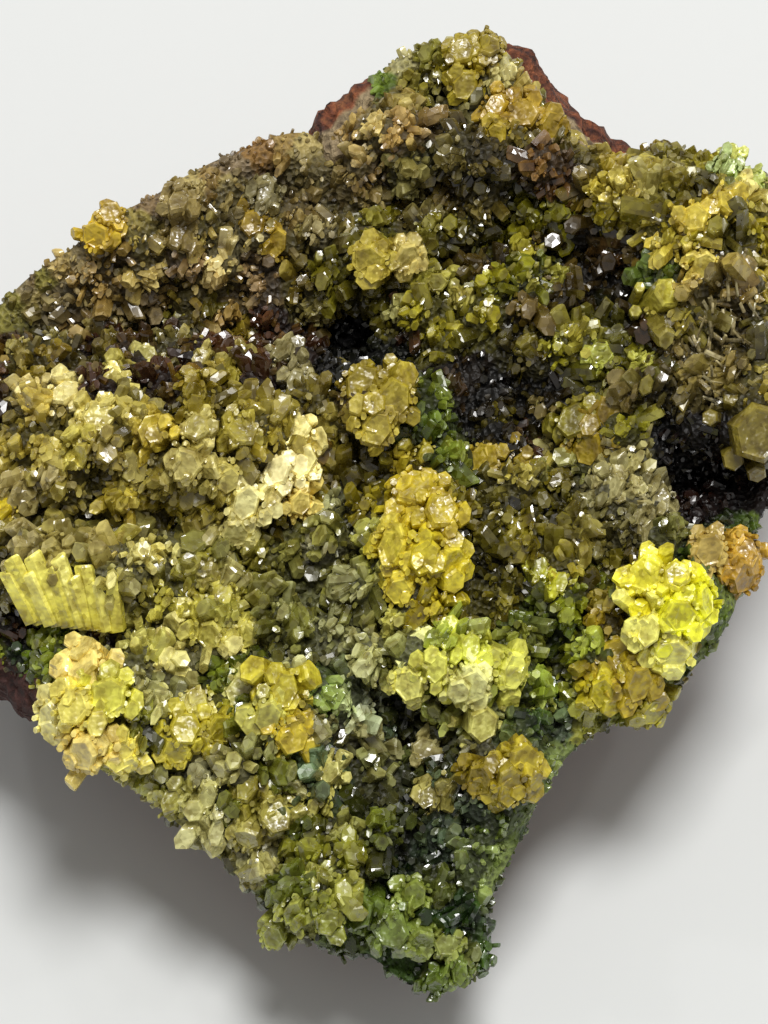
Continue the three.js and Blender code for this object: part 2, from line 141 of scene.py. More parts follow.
# A crystal's foot is deeper in tint, by a power and a factor: a deeper colour with painted shade
# where the crystals meet. The edges of its end are paler, by a factor and a share of its brightest
# part: a paler colour with a painted highlight
FOOT_TINT_AND_SHADE_POWER = 1.5
FOOT_TINT_AND_SHADE = 0.65
EDGE_TINT_AND_HIGHLIGHT = 1.28
EDGE_HIGHLIGHT_WHITE = 0.035

# The small crystals around a larger one: their shades, how far they stray from even spacing, and
# how far they turn at random, over their leaning
SPROUT_SHADES = (0.84, 1.16)
SPROUT_STRAY = 0.7
SPROUT_TURN = 0.3

# A direction that crystals don't follow, to find their sides from
OFF_AXIS = (0.31, 0.87, 0.38)

# The parts of a crystal in its bake cell: the height of a ring of sides and the width of one,
# where a side starts up and starts and ends across, the end's middle and radius, and how far
# from it the foot's middle lies
CELL_RING = 0.22
CELL_SIDE = 0.15
CELL_BASE = 0.03
CELL_SPAN = (0.05, 0.19)
CELL_END = (0.3, 0.82)
CELL_RADIUS = 0.13
CELL_FOOT = 0.4

# What a clear crystal's reflections add to the colour that the eye sees, and the share of a
# dark colour that is kept when that is taken off
HAZE = 0.034
DARK_KEPT = 0.35

# The face's outline, round from the far left
OUTLINE = [
    (-24, 14.2), (-20.1, 16.8), (-18.2, 18.6), (-16, 19.4), (-11.5, 22.1), (-6.8, 24),
    (-4.5, 24.5), (-1.5, 27.1), (0.7, 29.2), (4.1, 30.3), (8.2, 30.5), (11, 28.2),
    (13.5, 25), (18.5, 23.2), (22.2, 22.4), (26, 20.4), (28.4, 13.9), (28.2, 8.9),
    (25.4, 1.4), (23.4, -3), (22.2, -7.1), (19.8, -10.5), (16.9, -13.1), (13, -14.9),
    (10.3, -17.7), (9, -20.4), (6.6, -25.2), (6.4, -28.5), (4.9, -30.3), (1.9, -30.2),
    (-1, -28.5), (-4.6, -27.5), (-9.9, -23), (-15.2, -18.5), (-19.3, -15.8), (-19.6, -14.2),
    (-24, -12.1), (-27.9, -8.6), (-30.6, -0.5), (-30.6, 4.5), (-29.3, 8.6),
]

# Stretches of the rim where bare rock shows: from and to, in degrees
BARE_RIM = [(55, 78), (92, 99), (198, 216)]

# Mounds, ribs and hollows: middle, half widths, turn in degrees, and rise out of the face
LANDFORMS = [
    ((-13, 20.5), (14, 3), 28, 3.2),
    ((4.5, 27), (7, 4), 0, 1.5),
    ((3.5, 26.2), (4, 2.2), 0, -2),
    ((9.1, 21.7), (8, 1.8), -5, 2.2),
    ((-16.5, 11), (14, 4.5), 8, -5),
    ((-2.1, 9.9), (3, 2.4), 0, -5.8),
    ((-9, 10.1), (1.8, 1.6), 0, -2.8),
    ((-18.4, 5.1), (6, 5), 0, 3.8),
    ((-10.3, 3.9), (6, 4.5), 0, 3.8),
    ((-4, 2.6), (1.5, 2.6), 0, -4),
    ((0.2, 2.7), (1.8, 2), 0, -3.2),
    ((-0.6, 6.1), (4, 3), 0, 3.2),
    ((2.6, -3), (4, 5), 0, 3),
    ((7.3, 4.5), (5, 4), 0, -2),
    ((1.6, 18.7), (2.6, 2.6), 0, -4.2),
    ((0.6, 15.8), (4.4, 1.6), 24, 2.8),
    ((8, 17), (3, 2.2), 0, -3.2),
    ((14.8, 15.1), (3.6, 2.4), 20, -3.8),
    ((20, 17), (5, 6), 0, 3.5),
    ((22.6, 7.2), (4, 5), 0, 3),
    ((20.2, 1.7), (3.4, 1.9), 10, -6.8),
    ((10.3, 3.4), (1.2, 3), 0, -3),
    ((17.2, -6.2), (4, 4), 0, 3.5),
    ((13.7, -5), (1.3, 3), 0, -2.8),
    ((10.1, -11.9), (1.5, 2.6), 0, -3.5),
    ((4, -10), (6, 2), 0, 2.2),
    ((-19.3, -4.6), (5, 2.4), 0, 2.8),
    ((-20.3, -8.4), (4.4, 1.4), 0, -3.2),
    ((-17.6, -12.6), (3.6, 4.4), 0, 3.5),
    ((-9, -11.2), (1.5, 1.3), 0, -2.8),
    ((-7, -12.2), (3.4, 3.4), 0, 2.2),
    ((1, -15.6), (4, 4.6), 0, -2.5),
    ((-5.6, -21.6), (2.6, 1.1), -15, -2.8),
    ((-3.6, -24.2), (5, 2), 30, 1.8),
    ((7.3, -16.4), (3, 2.6), 0, 2.2),
]

# A group of main crystals: the middle, half widths and turn of its patch, how many crystals,
# their radius and height, lean and splay, the finish of a group that is a node of its own, and
# the tints of its main crystals in turn
Group = namedtuple("Group", "name at half turn count size lean splay finish tints")

GROUPS = [Group(*row) for row in (
    ("comb_plate", (-19.2, -5.6), (2.6, 0.6), -6, 5, (1, 2.8), (-0.3, 0.75), 0.25, "straw",
     "fcf47c f4ec74 fff890"),
    ("left_knob", (-23.8, -1.2), (0.8, 1), 0, 2, (1, 1.7), (-0.2, 0.1), 0.4, "gold",
     "d8c430 c8b02c"),
    ("corner_castle", (-17.6, -13), (2.2, 2.8), 12, 6, (1.3, 2.5), (-0.25, -0.15), 0.5, "straw",
     "ece074 f0dc88 e0dc60 f4eca0"),
    ("stepped_log", (-11.6, -13.7), (2.4, 1.1), 20, 4, (1.15, 2.1), (0.25, 0.1), 0.35, "lemon",
     "c8bc48 b8ac3c d4cc78"),
    ("twin_blocks", (-7.1, -12), (1.2, 2.1), 28, 4, (1.4, 2.3), (0.05, -0.1), 0.4, "gold",
     "c8c468 c8bc44 d0cc80 c8b43c"),
    ("golden_castle", (2.4, -2.4), (2, 2.9), -12, 6, (1.3, 2.7), (0, 0.1), 0.55, "gold",
     "d4c438 c8b42c dccc4c"),
    ("honey_boss", (-0.5, 6.3), (1.9, 1.5), 10, 4, (1.35, 2.1), (0.1, 0.05), 0.5, "honey",
     "a89834 9c8c28 bcac50"),
    ("cream_hook", (-5.9, 1.6), (0.9, 2.5), -10, 4, (1.15, 2.5), (0.1, 0.1), 0.35, "cream",
     "f8eca4 fff4bc ecd880"),
    ("cream_boss", (-8.4, -0.4), (1, 1.1), 0, 2, (1.3, 2), (0, -0.3), 0.35, "cream",
     "f0e8a8 e4dc98"),
    ("lime_ledge", (4.2, -10), (3.6, 1.3), 4, 6, (1.25, 2.2), (0.1, -0.15), 0.5, "lime",
     "dcdc6c f0f0a8 d0d458 e4e080"),
    ("hexagon_tablet", (5.7, -13.2), (0, 0), 0, 1, (1.15, 2.6), (0.18, -0.2), 0, "straw",
     "ccc878"),
    ("speckled_boss", (7.4, -16.5), (1.3, 1.1), 0, 3, (1.25, 2.2), (0.15, -0.15), 0.45, "honey",
     "a8982c b4a434 948420"),
    ("lemon_castle", (17.3, -6.4), (1.6, 2.3), -20, 6, (1.2, 2.7), (0.1, 0.1), 0.55, "lemon",
     "f0f040 ece444 f8f484"),
    ("amber_cluster", (21, -3.2), (1.6, 1.1), 0, 3, (1.3, 2), (0.4, -0.1), 0.45, "amber",
     "c4a044 c8b068 b8943c"),
    ("gold_slab", (14.6, -11.2), (2, 1.6), -35, 4, (1.3, 2.1), (0.2, -0.3), 0.45, "gold",
     "b8a428 c4b838 a8a03c"),
    ("barrel_pair", (13, 4.7), (1.8, 1), -10, 3, (1.3, 2.2), (-0.2, -0.1), 0.5, "honey",
     "90882c a08c28 907c24"),
    ("pale_barrel", (22.9, 4.5), (0, 0), 0, 1, (1.9, 3), (0.1, -0.1), 0, "honey",
     "847838"),
    ("lime_chip", (16.8, 12.2), (0, 0), 0, 1, (1, 2.7), (0.35, 0.35), 0, "lime",
     "c4bc58"),
    ("lime_fan", (9.8, -5.4), (0.9, 0.5), 30, 2, (0.9, 2.1), (0.2, 0.35), 0.5, "lime",
     "c0c044 acac38"),
    ("honey_row", (7.6, 2.1), (2, 0.7), 0, 3, (1.2, 1.9), (0, 0.1), 0.4, "honey",
     "a08c30 ac983c 908030"),
    ("peak_gold", (8.6, 24.2), (2, 1.1), 10, 4, (1.1, 2.2), (0, -0.1), 0.5, "gold",
     "b09430 ac9838 a08828"),
    ("peak_crown", (5.4, 28), (1.1, 1.4), 0, 3, (1.05, 1.9), (0, 0.1), 0.5, "honey",
     "a4942c b4a444 94842c"),
    ("rib_boss", (0.2, 15.7), (1.4, 0.8), 24, 2, (1.15, 1.9), (-0.1, -0.1), 0.4, "straw",
     "bcac4c ccbc74"),
    ("clover", (1.6, 2.8), (0.8, 0.6), 0, 3, (0.85, 1.8), (0, 0), 0.5, "gold",
     "b4a43c a49840"),
    ("ridge_knob", (-17.7, 17.2), (0.6, 0.8), -30, 2, (1.05, 1.7), (-0.3, 0.2), 0.4, "gold",
     "c8ac30 bca034"),
    ("left mound", (-18.6, 5.2), (2.2, 2.4), 0, 4, (1.15, 2), (0, 0.1), 0.5, None,
     "dccf7c e8dc9c ccc064"),
    ("valley fan", (-16, 8.2), (1.1, 0.9), 0, 2, (1, 1.9), (0.3, 0.2), 0.4, None,
     "bcb470 aaa054"),
    ("middle mound", (-11.2, 3.6), (3.2, 2.2), 0, 5, (1.1, 2), (0, 0.1), 0.5, None,
     "bcb068 ccc07c a89c4c c4b04c"),
    ("valley boss", (-10.4, 8.8), (1.5, 1.2), 0, 2, (1, 1.9), (0, 0.1), 0.5, None,
     "b4a864 a49848"),
    ("grey mass", (-4.8, 8.1), (2.2, 1.8), 0, 3, (1, 1.9), (0.1, 0.1), 0.5, None,
     "98906c 8c8458"),
    ("olive boulder", (-10.9, -7), (2.2, 2), 0, 4, (1.25, 1.9), (0, -0.1), 0.5, None,
     "ccc46c c4bc60 d8d08c"),
    ("tan mass", (-7.6, -18.6), (2, 1.4), 0, 3, (1.1, 1.9), (0, -0.1), 0.5, None,
     "aca45c a0984c b4ac68"),
    ("sparkling block", (-11.4, -18.5), (1.6, 1.6), 0, 3, (1.15, 1.9), (-0.1, 0), 0.5, None,
     "bcb87c a8a460 ccc894"),
    ("lower straw", (-3.5, -17.6), (1, 1.1), 0, 2, (0.9, 2), (0.1, 0.1), 0.5, None,
     "d2cc84 c0ba68"),
    ("lower ribs", (-4.4, -24.4), (3, 1.2), 30, 4, (1, 1.8), (0, -0.1), 0.45, None,
     "a4a858 8c9040 acac60"),
    ("tan column", (3.2, -17.4), (0.9, 2.4), 0, 3, (1, 1.8), (0, -0.1), 0.4, None,
     "a49c60 948c54 b0a878"),
    ("green blocks", (0.4, -24.8), (2.2, 2.2), 0, 4, (1.15, 1.7), (0.1, -0.1), 0.4, None,
     "7c8c4c 8c9850 6c7c3c 889450"),
    ("tip blocks", (4, -28), (1.4, 1.4), 0, 3, (1, 1.4), (0, -0.1), 0.4, None,
     "7c8c4c 949c58 68783c"),
    ("grey bench", (16, 0), (2.6, 1.5), -10, 3, (1.2, 1.8), (0, 0), 0.4, None,
     "a8a078 b4ac80 989068"),
    ("long prisms", (15, 19.2), (1.4, 1.1), -40, 3, (0.7, 2.7), (-0.5, 0.5), 0.35, None,
     "ccbc60 c0b050 d8cc80"),
    ("shoulder group", (19.8, 16.8), (2.2, 2.6), 0, 4, (1.05, 2), (0.1, 0), 0.5, None,
     "d8c458 e4d478 ccb84c"),
    ("teal corner", (22.4, 21), (1.6, 0.9), -10, 3, (0.85, 1.5), (0, 0.1), 0.5, None,
     "b4c488 c0cc78 ccd074"),
    ("right edge group", (24.6, 12.8), (1.4, 2.6), 0, 3, (1.05, 1.8), (0.3, 0), 0.4, None,
     "b4a450 c4b054 a09040"),
    ("green prisms", (8.6, 14.4), (2.2, 1.8), 0, 4, (0.75, 2.1), (0, 0), 0.7, None,
     "98944c a49c44 848440"),
    ("lime shelf", (15, 8.4), (2.2, 0.7), 5, 2, (0.8, 2), (0.3, 0.2), 0.4, None,
     "c0c064 b0b458"),
    ("rib slope", (3, 13), (2.2, 1.6), 20, 3, (0.85, 1.9), (0, -0.1), 0.5, None,
     "b0aa5c a8a46c bcb468"),
    ("ridge wedge", (-12.6, 18.2), (1, 1.3), 0, 2, (1.2, 1.6), (0, 0.2), 0.3, None,
     "98885c 8c7c50"),
    ("ridge boss", (-7.6, 17.8), (1.2, 1.8), 0, 3, (1.15, 1.6), (0, -0.1), 0.4, None,
     "a08838 b09844 888060"),
    ("green nodule", (-12.4, 12.8), (1.3, 1.5), 0, 2, (1.2, 1.6), (0, 0), 0.4, None,
     "847c40 746c34"),
    ("far left group", (-27, 3.4), (1.6, 3), 0, 2, (1.1, 1.7), (-0.3, 0), 0.4, None,
     "948c48 a89c50"),
)]

# The group that is a plate with fingers: the ends of the row that its columns stand in, how far
# out they stand, the radius of one, their lengths, their lean at the first and the last, how
# far they stray from it and turn at random, and the share of their height that the group's main
# crystals keep
COMB = GROUPS[0]
COMB_FROM = (-21.9, -6.5)
COMB_TO = (-16.6, -7)
COMB_OUT = 1.6
COMB_COLUMN = 0.7
COMB_FINGERS = [2.6, 3.6, 2.7, 3.9, 2.9, 3.7, 2.5, 3.2, 2.3, 2.7]
COMB_LEAN = [(-0.5, 0.95, 0.28), (-0.12, 0.95, 0.28)]
COMB_STRAY = 0.08
COMB_TURN = 0.4
COMB_MAIN = 0.45

# How uneven the crystals of a group are, for a single one and for more, and how far their ends
# slant, over that
LONE_UNEVEN = 0.06
GROUP_UNEVEN = 0.15
GROUP_SLANT = 3.5

# A zone of the crust: its middle, half widths, turn and strength, its crystals' radius,
# stoutness (height over radius) and tilt, how many of its tufts have a stout crystal in their
# middle, and the tints of its tufts
Zone = namedtuple("Zone", "name at half turn strength radius stout tilt bosses tints")

ZONES = [Zone(*row) for row in (
    ("brown wall", (-10, 18.3), (15, 3.4), 26, 1.3, 0.23, 2.3, 0.5, 0.35,
     "bca068 d0b87c dcc888 a48c6c ac987c e4d49c b8a864"),
    ("brown wall foot", (-20, 14.5), (9, 2.6), 22, 1, 0.24, 2.2, 0.5, 0.35,
     "bca46c d0bc7c a08858 dccc8c 907c58 ac9c78 aca45c"),
    ("wall rim", (-17, 20.2), (13, 1.2), 27, 2.6, 0.15, 2, 0.5, 0,
     "c4a87c d0bc94 ac8858 947450"),
    ("dark valley", (-13, 9.8), (12, 2.4), 8, 1.6, 0.24, 2.3, 0.55, 0.4,
     "806834 948440 a4944c 644c28 b4a868 745c3c 604834"),
    ("left mound", (-18.5, 2.8), (7, 4), 0, 1.2, 0.3, 2.2, 0.45, 1.3,
     "d8c86c e4d484 c4b45c d0bc64 ecdc9c b4a454"),
    ("middle mound", (-10.5, 2.6), (5.5, 4), 0, 1.2, 0.3, 2.3, 0.45, 1.3,
     "bcac50 ccbc64 a4943c b4a44c d8cc88 987c3c"),
    ("left edge", (-28, -1), (3, 6), 0, 1, 0.24, 2.3, 0.5, 0.8,
     "8c8030 a0943c 686024 b0a644"),
    ("comb surrounds", (-20, -9), (6, 2), 0, 1, 0.22, 2.2, 0.5, 0.4,
     "647428 7c8834 54401c 98a048 44541c"),
    ("maroon corner", (-26.5, -10), (4, 2), -30, 1.4, 0.17, 2, 0.5, 0,
     "482018 5c2c1c 381814 74482c"),
    ("olive slope", (-11, -5.5), (5.5, 4), 0, 1, 0.29, 2.3, 0.45, 1,
     "ccc460 bcb454 dcd07c b4b060 e8e098"),
    ("grey druse", (-2.5, -6.5), (4, 4), 0, 1.2, 0.25, 2.4, 0.5, 0.8,
     "ccc870 d8d88c b0b05c e0e0a4 ece8c0"),
    ("corner", (-16, -12), (5, 4), 0, 0.9, 0.28, 2.2, 0.5, 0.8,
     "c0bc50 d0ca78 a0a048 dcd898 7c8838"),
    ("low left", (-11.5, -18.5), (5, 3.5), -40, 1.1, 0.3, 2.3, 0.5, 1,
     "b8b268 ccc688 98984c d8d4a8 7c8040"),
    ("lower hollow", (0.5, -15), (4, 4.5), 0, 1.1, 0.27, 2.6, 0.6, 0.4,
     "7c8450 989864 5c6038 b4b080 484c24 8c7c54 74886c"),
    ("lower slope", (-4.5, -23), (4, 3), -35, 1, 0.28, 2.3, 0.5, 0.9,
     "8c8c3c a0a050 707830 b4b46c"),
    ("tip", (2, -27), (5, 3.5), 0, 1.2, 0.28, 2.2, 0.5, 0.9,
     "5c7034 748444 486028 8c9c54 98a064 788048 587038"),
    ("lower right moss", (8.6, -20), (3, 6), -20, 1.3, 0.2, 2.2, 0.5, 0.3,
     "849450 708044 94a464 b0b884 5c7044 78886c"),
    ("right moss", (22, -8.5), (2.2, 5), 20, 1.3, 0.19, 2.1, 0.5, 0.2,
     "74883c 88984c 5c7030 9cac60"),
    ("lime ground", (5, -9), (6, 2.6), 0, 1.1, 0.25, 2.3, 0.5, 0.6,
     "c4cc5c d8e078 acb850 e4e8a0 94a448"),
    ("mint blocks", (-2, -11.2), (2.8, 1.8), 0, 1.6, 0.27, 2.2, 0.5, 1,
     "c0d07c d8e4b0 a8bc6c e8f0d0 b4c870"),
    ("gold ground", (3, -2.5), (3.4, 4.2), 0, 1, 0.28, 2.3, 0.5, 0.6,
     "b0a02c c4b43c 948828 d0c458"),
    ("gold slope", (14.5, -10), (4, 3.5), -30, 1, 0.28, 2.3, 0.5, 0.7,
     "a89438 bca84c 8c803c 9ca048"),
    ("dark centre", (7.5, 5), (4.5, 4), 0, 1.2, 0.22, 2.4, 0.55, 0.35,
     "50441f 645828 746c2c 3c3014 80783c 504028"),
    # Nearly black tints: a deep brown colour with painted shade in the slot
    ("slot", (-2.2, 9.8), (2.4, 1.5), 0, 2.5, 0.18, 2, 0.5, 0,
     "1c160c 282010 2c2c14 343818"),
    ("green centre", (8.4, 14.5), (3.5, 3.5), 0, 1.2, 0.28, 2.8, 0.6, 0.5,
     "88862c a09c30 b4ac3c c4bc4c 6c7024 74643c"),
    ("upper centre", (2, 14), (4.5, 3.5), 20, 1, 0.28, 2.5, 0.5, 0.9,
     "a8a040 beb654 8c8434 ccc468"),
    ("wall right", (3, 20.5), (4, 2.6), 0, 1.2, 0.22, 2.4, 0.5, 0.35,
     "907c44 a49454 786c44 b8a868 a09460 bcb478"),
    ("peak", (4, 27), (4, 3), 0, 1.1, 0.28, 2.3, 0.5, 0.9,
     "a09850 b4ac68 8c8848 c8c08c b0a444"),
    ("peak pale", (0.3, 26.6), (1.5, 1.5), 0, 1.3, 0.24, 2.3, 0.5, 0.5,
     "a8b478 98a860 c0c89c 7c9048"),
    ("saddle", (11, 22), (6, 2), -5, 1, 0.27, 2.3, 0.5, 0.8,
     "ac9a48 c0ae5c 94803c ccbc78 a09c50"),
    ("saddle rust", (9, 21), (5, 1.2), -5, 0.8, 0.2, 2.1, 0.5, 0.2,
     "806040 94744c ac8c5c"),
    ("shoulder", (19, 17.5), (5, 4.5), 0, 1.2, 0.35, 3.6, 0.85, 0.5,
     "ccbc4c dccc68 b0a440 e4d888 bcb050"),
    ("dark right hollow", (14.5, 14.5), (3.6, 2.6), 20, 1.2, 0.28, 2.8, 0.6, 0.4,
     "645038 74643c 546428 4c4428 807440"),
    ("grey fibres", (21.5, 11), (3.2, 4.5), -20, 1.1, 0.25, 3.8, 0.85, 0.3,
     "c0ac68 d0bc80 a08c58 dccc9c b0a454"),
    ("right shelf", (14.5, 8), (4, 3), 0, 1, 0.33, 2.8, 0.65, 0.8,
     "a09c40 b4ac54 807c38 c4bc6c 807450"),
    ("right bench", (15, 0), (4.5, 3), 0, 1.1, 0.26, 2.3, 0.55, 0.7,
     "bcb480 ccc490 a09864 d8d0a8 acac68"),
    ("right edge", (26.5, 8), (2.5, 7), 0, 1.1, 0.26, 2.4, 0.5, 0.8,
     "94863c ac9c50 7c7038 bcb068"),
    # Nearly black tints: a maroon-brown colour with painted shade in the cavity
    ("cavity", (20.2, 1.7), (3.2, 1.8), 10, 3.5, 0.18, 2, 0.5, 0,
     "30190f 40261a 24150c 503422"),
    ("olive middle", (9.5, -1.5), (4, 3.5), 0, 1, 0.28, 2.3, 0.5, 1,
     "a0943c b4a848 807830 c0b464"),
    ("right middle", (11.5, -7), (3, 4), 0, 1, 0.26, 2.3, 0.5, 0.7,
     "84902c 98a03c 64742c acac50"),
    ("green nest", (3.3, 3.9), (1.2, 2), 0, 2.2, 0.24, 2.4, 0.5, 0.5,
     "70803c 808c44 586838 98a058 8c9448"),
    ("upper green nest", (7.2, 17), (1.3, 1.2), 0, 1.8, 0.24, 2.4, 0.5, 0.4,
     "788c3c 8c9840 586c30 9ca848"),
    ("dark green nest", (16, 14.4), (2.4, 1.2), 20, 2.2, 0.24, 2.6, 0.5, 0.4,
     "50642f 607438 3c4c24 748448"),
    ("teal corner", (22.4, 21.3), (1.6, 0.8), -10, 1.6, 0.22, 2.2, 0.5, 0.4,
     "b4c888 c0d080 ccd070"),
)]

# The crust's large clumps: how wide and high they are, where in the noise their gaps end and
# their tops begin, how much of one lies below the ground's level, and the painted shade of their
# gaps and the painted light of their tops
CLUMP_SIZE = 3.8
CLUMP_HEIGHT = 0.8
CLUMP_EDGE = (0.3, 0.6)
CLUMP_LEVEL = 0.6
PAINTED_CLUMP_SHADE_AND_LIGHT = (0.56, 1.12)

# Deep hollows that hardly any light reaches, as middle, half widths and turn in degrees, how
# strong their gloom is, up to 1, and the painted shade of the crystals' tints where it is full
HOLES = [((-2.4, 9.8), (1.7, 1.3), 0), ((20, 1.7), (2.6, 1.3), 10)]
HOLE_STRENGTH = 1.5
PAINTED_GLOOM_SHADE = 0.25

# How far the ground's dome under a tuft reaches, over the spacing, where domes fade out, how
# they differ in height, and how strongly a tuft keeps to its strongest zone, as a power
DOME_REACH = 0.8
DOME_FADE = (0.8, 0.93)
DOME_RANGE = (0.5, 1.5)
ZONE_CHOICE = 3

# How small crystals stand: out of a tuft's middle, at random, and sunk by a share of their
# radius. The power that makes the smaller ones more common, and the range of their heights
TUFT_SPLAY = 0.3
TILT_RANGE = 3.2
SUNK = 0.6
SMALL_POWER = 1.6
HEIGHT_RANGE = (0.5, 1.05)

# Their shades one by one, the painted shade that darkens them from a tuft's middle to its edge,
# and the mix of tints in a tuft
OWN_SHADES = (0.8, 1.25)
PAINTED_TUFT_SHADE = (1.08, 0.32)
TUFT_EDGE = (0.45, 0.85)
TINT_MIX = 0.35

# How thin and short they get at the rim, with the shares of the way out where that begins and ends
RIM_THIN = (0.7, 0.86, 0.95)
RIM_SHORT = (0.65, 0.88, 0.96)

# How far they may reach into the larger crystals
OVERLAP = 0.1

# The stout crystal of a tuft: how rare it is, how far out and in how much gloom it may stand,
# its radius over the zone's own, the range of that and of its height, its radius where they are
# few, its least height, how far it leans at random, and its shade
BOSS_RARE = 0.45
BOSS_RIM = 0.96
BOSS_GLOOM = 0.5
BOSS_RADIUS = 2.8
BOSS_RANGE = (0.6, 1.3)
BOSS_FEW = 0.55
BOSS_FOOT = 0.5
BOSS_LEAN = 1.3
BOSS_SHADE = 1.1

# The ground's painted shade under the crystals and near the rim, and where it changes
PAINTED_GROUND_SHADE = (0.16, 0.7)
GROUND_EDGE = (0.88, 0.95)

# Threads of crystal: their patch as middle, half widths and turn, how strong it must be for a
# thread and how far that differs, how many places are tried, the way that they run and how far
# they stray from it, how high they lie, and their sizes and tints
FIBRE_PATCH = ((21, 10), (1.8, 4.6), -14)
FIBRE_LEAST = 0.3
FIBRE_SPREAD = 0.6
FIBRE_TRIES = 16000
FIBRE_RUN = (-0.35, 1, -0.2)
FIBRE_STRAY = 2.2
FIBRE_LIFT = (0.3, 1.1)
FIBRE_LENGTH = (0.6, 1.7)
FIBRE_RADIUS = (0.07, 0.16)
FIBRE_TINTS = "a89f80 b8ac88 948a6c c4b894"

# What a tint is multiplied by, in the deep and light blotches of a crystal, and in the gaps
# between grains and on top of them, where the grain's own tone carries painted shade in the gaps
# and painted light on the tops
DEEP_BLOTCH = (0.55, 0.5, 0.31, 1)
LIGHT_BLOTCH = (1.22, 1.23, 1.1, 1)
ROCK_GAP_TONE_AND_SHADE = (0.42, 0.37, 0.36, 1)
ROCK_GRAIN_TONE_AND_LIGHT = (1.15, 1.1, 1.05, 1)
GROUND_GAP_TONE_AND_SHADE = (0.3, 0.28, 0.24, 1)
GROUND_GRAIN_TONE_AND_LIGHT = (1.1, 1.1, 1.0, 1)
PAPER_GRAIN = (0.7, 0.7, 0.7, 1)

# The stage in metres: half the paper's side, and where the lights are and how large. A lamp
# has a share of the window's power
PAPER_HALF = 0.9
PAPER_SUNK = 1e-5
WINDOW = (0.045, 0.06, 0.49)
WINDOW_SIZE = 0.15
LAMPS = [(-0.2, 0.2, 0.4), (-0.05, 0.3, 0.36), (0.12, 0.16, 0.44), (0.26, 0.26, 0.34)]
LAMP_SIZE = 0.03
LAMP_SHARE = 0.04
LIGHT_COLOUR = (1, 0.99, 0.97)
ROOM_COLOUR = (1, 0.98, 0.94, 1)
ROOM_STRENGTH = 0.29

# The camera's sensor, how much of the face its picture shows from top to bottom, and the
# distance in metres from which it sees things
SENSOR = 36
VIEW_HEIGHT = 64
CLIP_START = 0.01


def palette(codes):
    """Colour codes as linear red, green and blue, less the haze that reflections add."""
    parts = np.array([[int(code[i : i + 2], 16) for i in (0, 2, 4)] for code in codes.split()])
    parts = parts / 255
    seen = np.where(parts <= 0.04045, parts / 12.92, ((parts + 0.055) / 1.055) ** 2.4)
    return np.maximum(seen - HAZE, DARK_KEPT * seen)


def chance(seed, channel):
    """A number from 0 to 1 that looks random and is the same each time, as in the solids."""
    value = np.sin(seed * 12.9898 + channel * 78.233) * 43758.5453
    return value - np.floor(value)


def smoothstep(value, start, end):
    share = np.clip((value - start) / (end - start), 0, 1)
    return share * share * (3 - 2 * share)


def lerp(start, end, share):
    return start + (end - start) * share


def unit(vectors):
    return vectors / np.maximum(np.linalg.norm(vectors, axis=-1, keepdims=True), 1e-12)


def scattered(cells, seed):
    """A number from 0 to 1 for each row of whole numbers."""
    mixed = cells @ np.array([73856093, 19349663, 83492791]) + seed * 2654435761
    mixed = (mixed ^ (mixed >> 13)) * 1274126177
    return ((mixed ^ (mixed >> 16)) & 0xFFFFFF) / 0xFFFFFF


def noise(points, size, seed):
    """Smooth noise from 0 to 1 over points, with lumps of about this size."""
    scaled = points / size
    cell = np.floor(scaled).astype(np.int64)
    part = smoothstep(scaled - cell, 0, 1)
    total = np.zeros(len(points))
    for corner in np.ndindex(2, 2, 2):
        weight = np.prod(np.where(corner, part, 1 - part), axis=1)
        total += weight * scattered(cell + np.array(corner), seed)
    return total


def layered(points, size, seed):
    """Noise about zero in three layers, each half as large and half as strong as the last."""
    return sum((noise(points, size / 2**i, seed + i) - 0.5) / 2**i for i in range(3))


def bell(x, y, at, half, turn):
    """How strongly a landform or zone acts at points of the face."""
    angle = math.radians(turn)
    dx, dy = x - at[0], y - at[1]
    along = (dx * math.cos(angle) + dy * math.sin(angle)) / half[0]
    over = (dy * math.cos(angle) - dx * math.sin(angle)) / half[1]
    return np.exp(-along * along - over * over)


def face_out(x, y):
    """The face's height out of its frame, before the rim rolls over."""
    return FACE_FALL * y + sum(rise * bell(x, y, *form) for *form, rise in LANDFORMS)


def clump(places):
    """How far up on one of the crust's large clumps places lie, from 0 in the gaps to 1."""
    flat = places * np.array([1, 1, 0])
    return smoothstep(noise(flat, CLUMP_SIZE, seed=57), *CLUMP_EDGE)


def gloom(x, y):
    """How deep in a dark hollow points of the face lie, from 0 to 1, which sets the painted shade
    there.
    """
    return np.clip(HOLE_STRENGTH * sum(bell(x, y, *hole) for hole in HOLES), 0, 1)


def rim_drop(share):
    over = np.clip((share - RIM_START) / (1 - RIM_START), 0, 1)
    return RIM_DROP * (1 - np.sqrt(1 - over * over))


def cover(x, y):
    """1 where the crust wraps the rim and 0 where the rock is bare."""
    angle = np.degrees(np.arctan2(y, x)) % 360
    covered = 1.0
    for start, end in BARE_RIM:
        inside = smoothstep(angle, start - BARE_FADE, start)
        covered = covered * (1 - inside * (1 - smoothstep(angle, end, end + BARE_FADE)))
    return covered


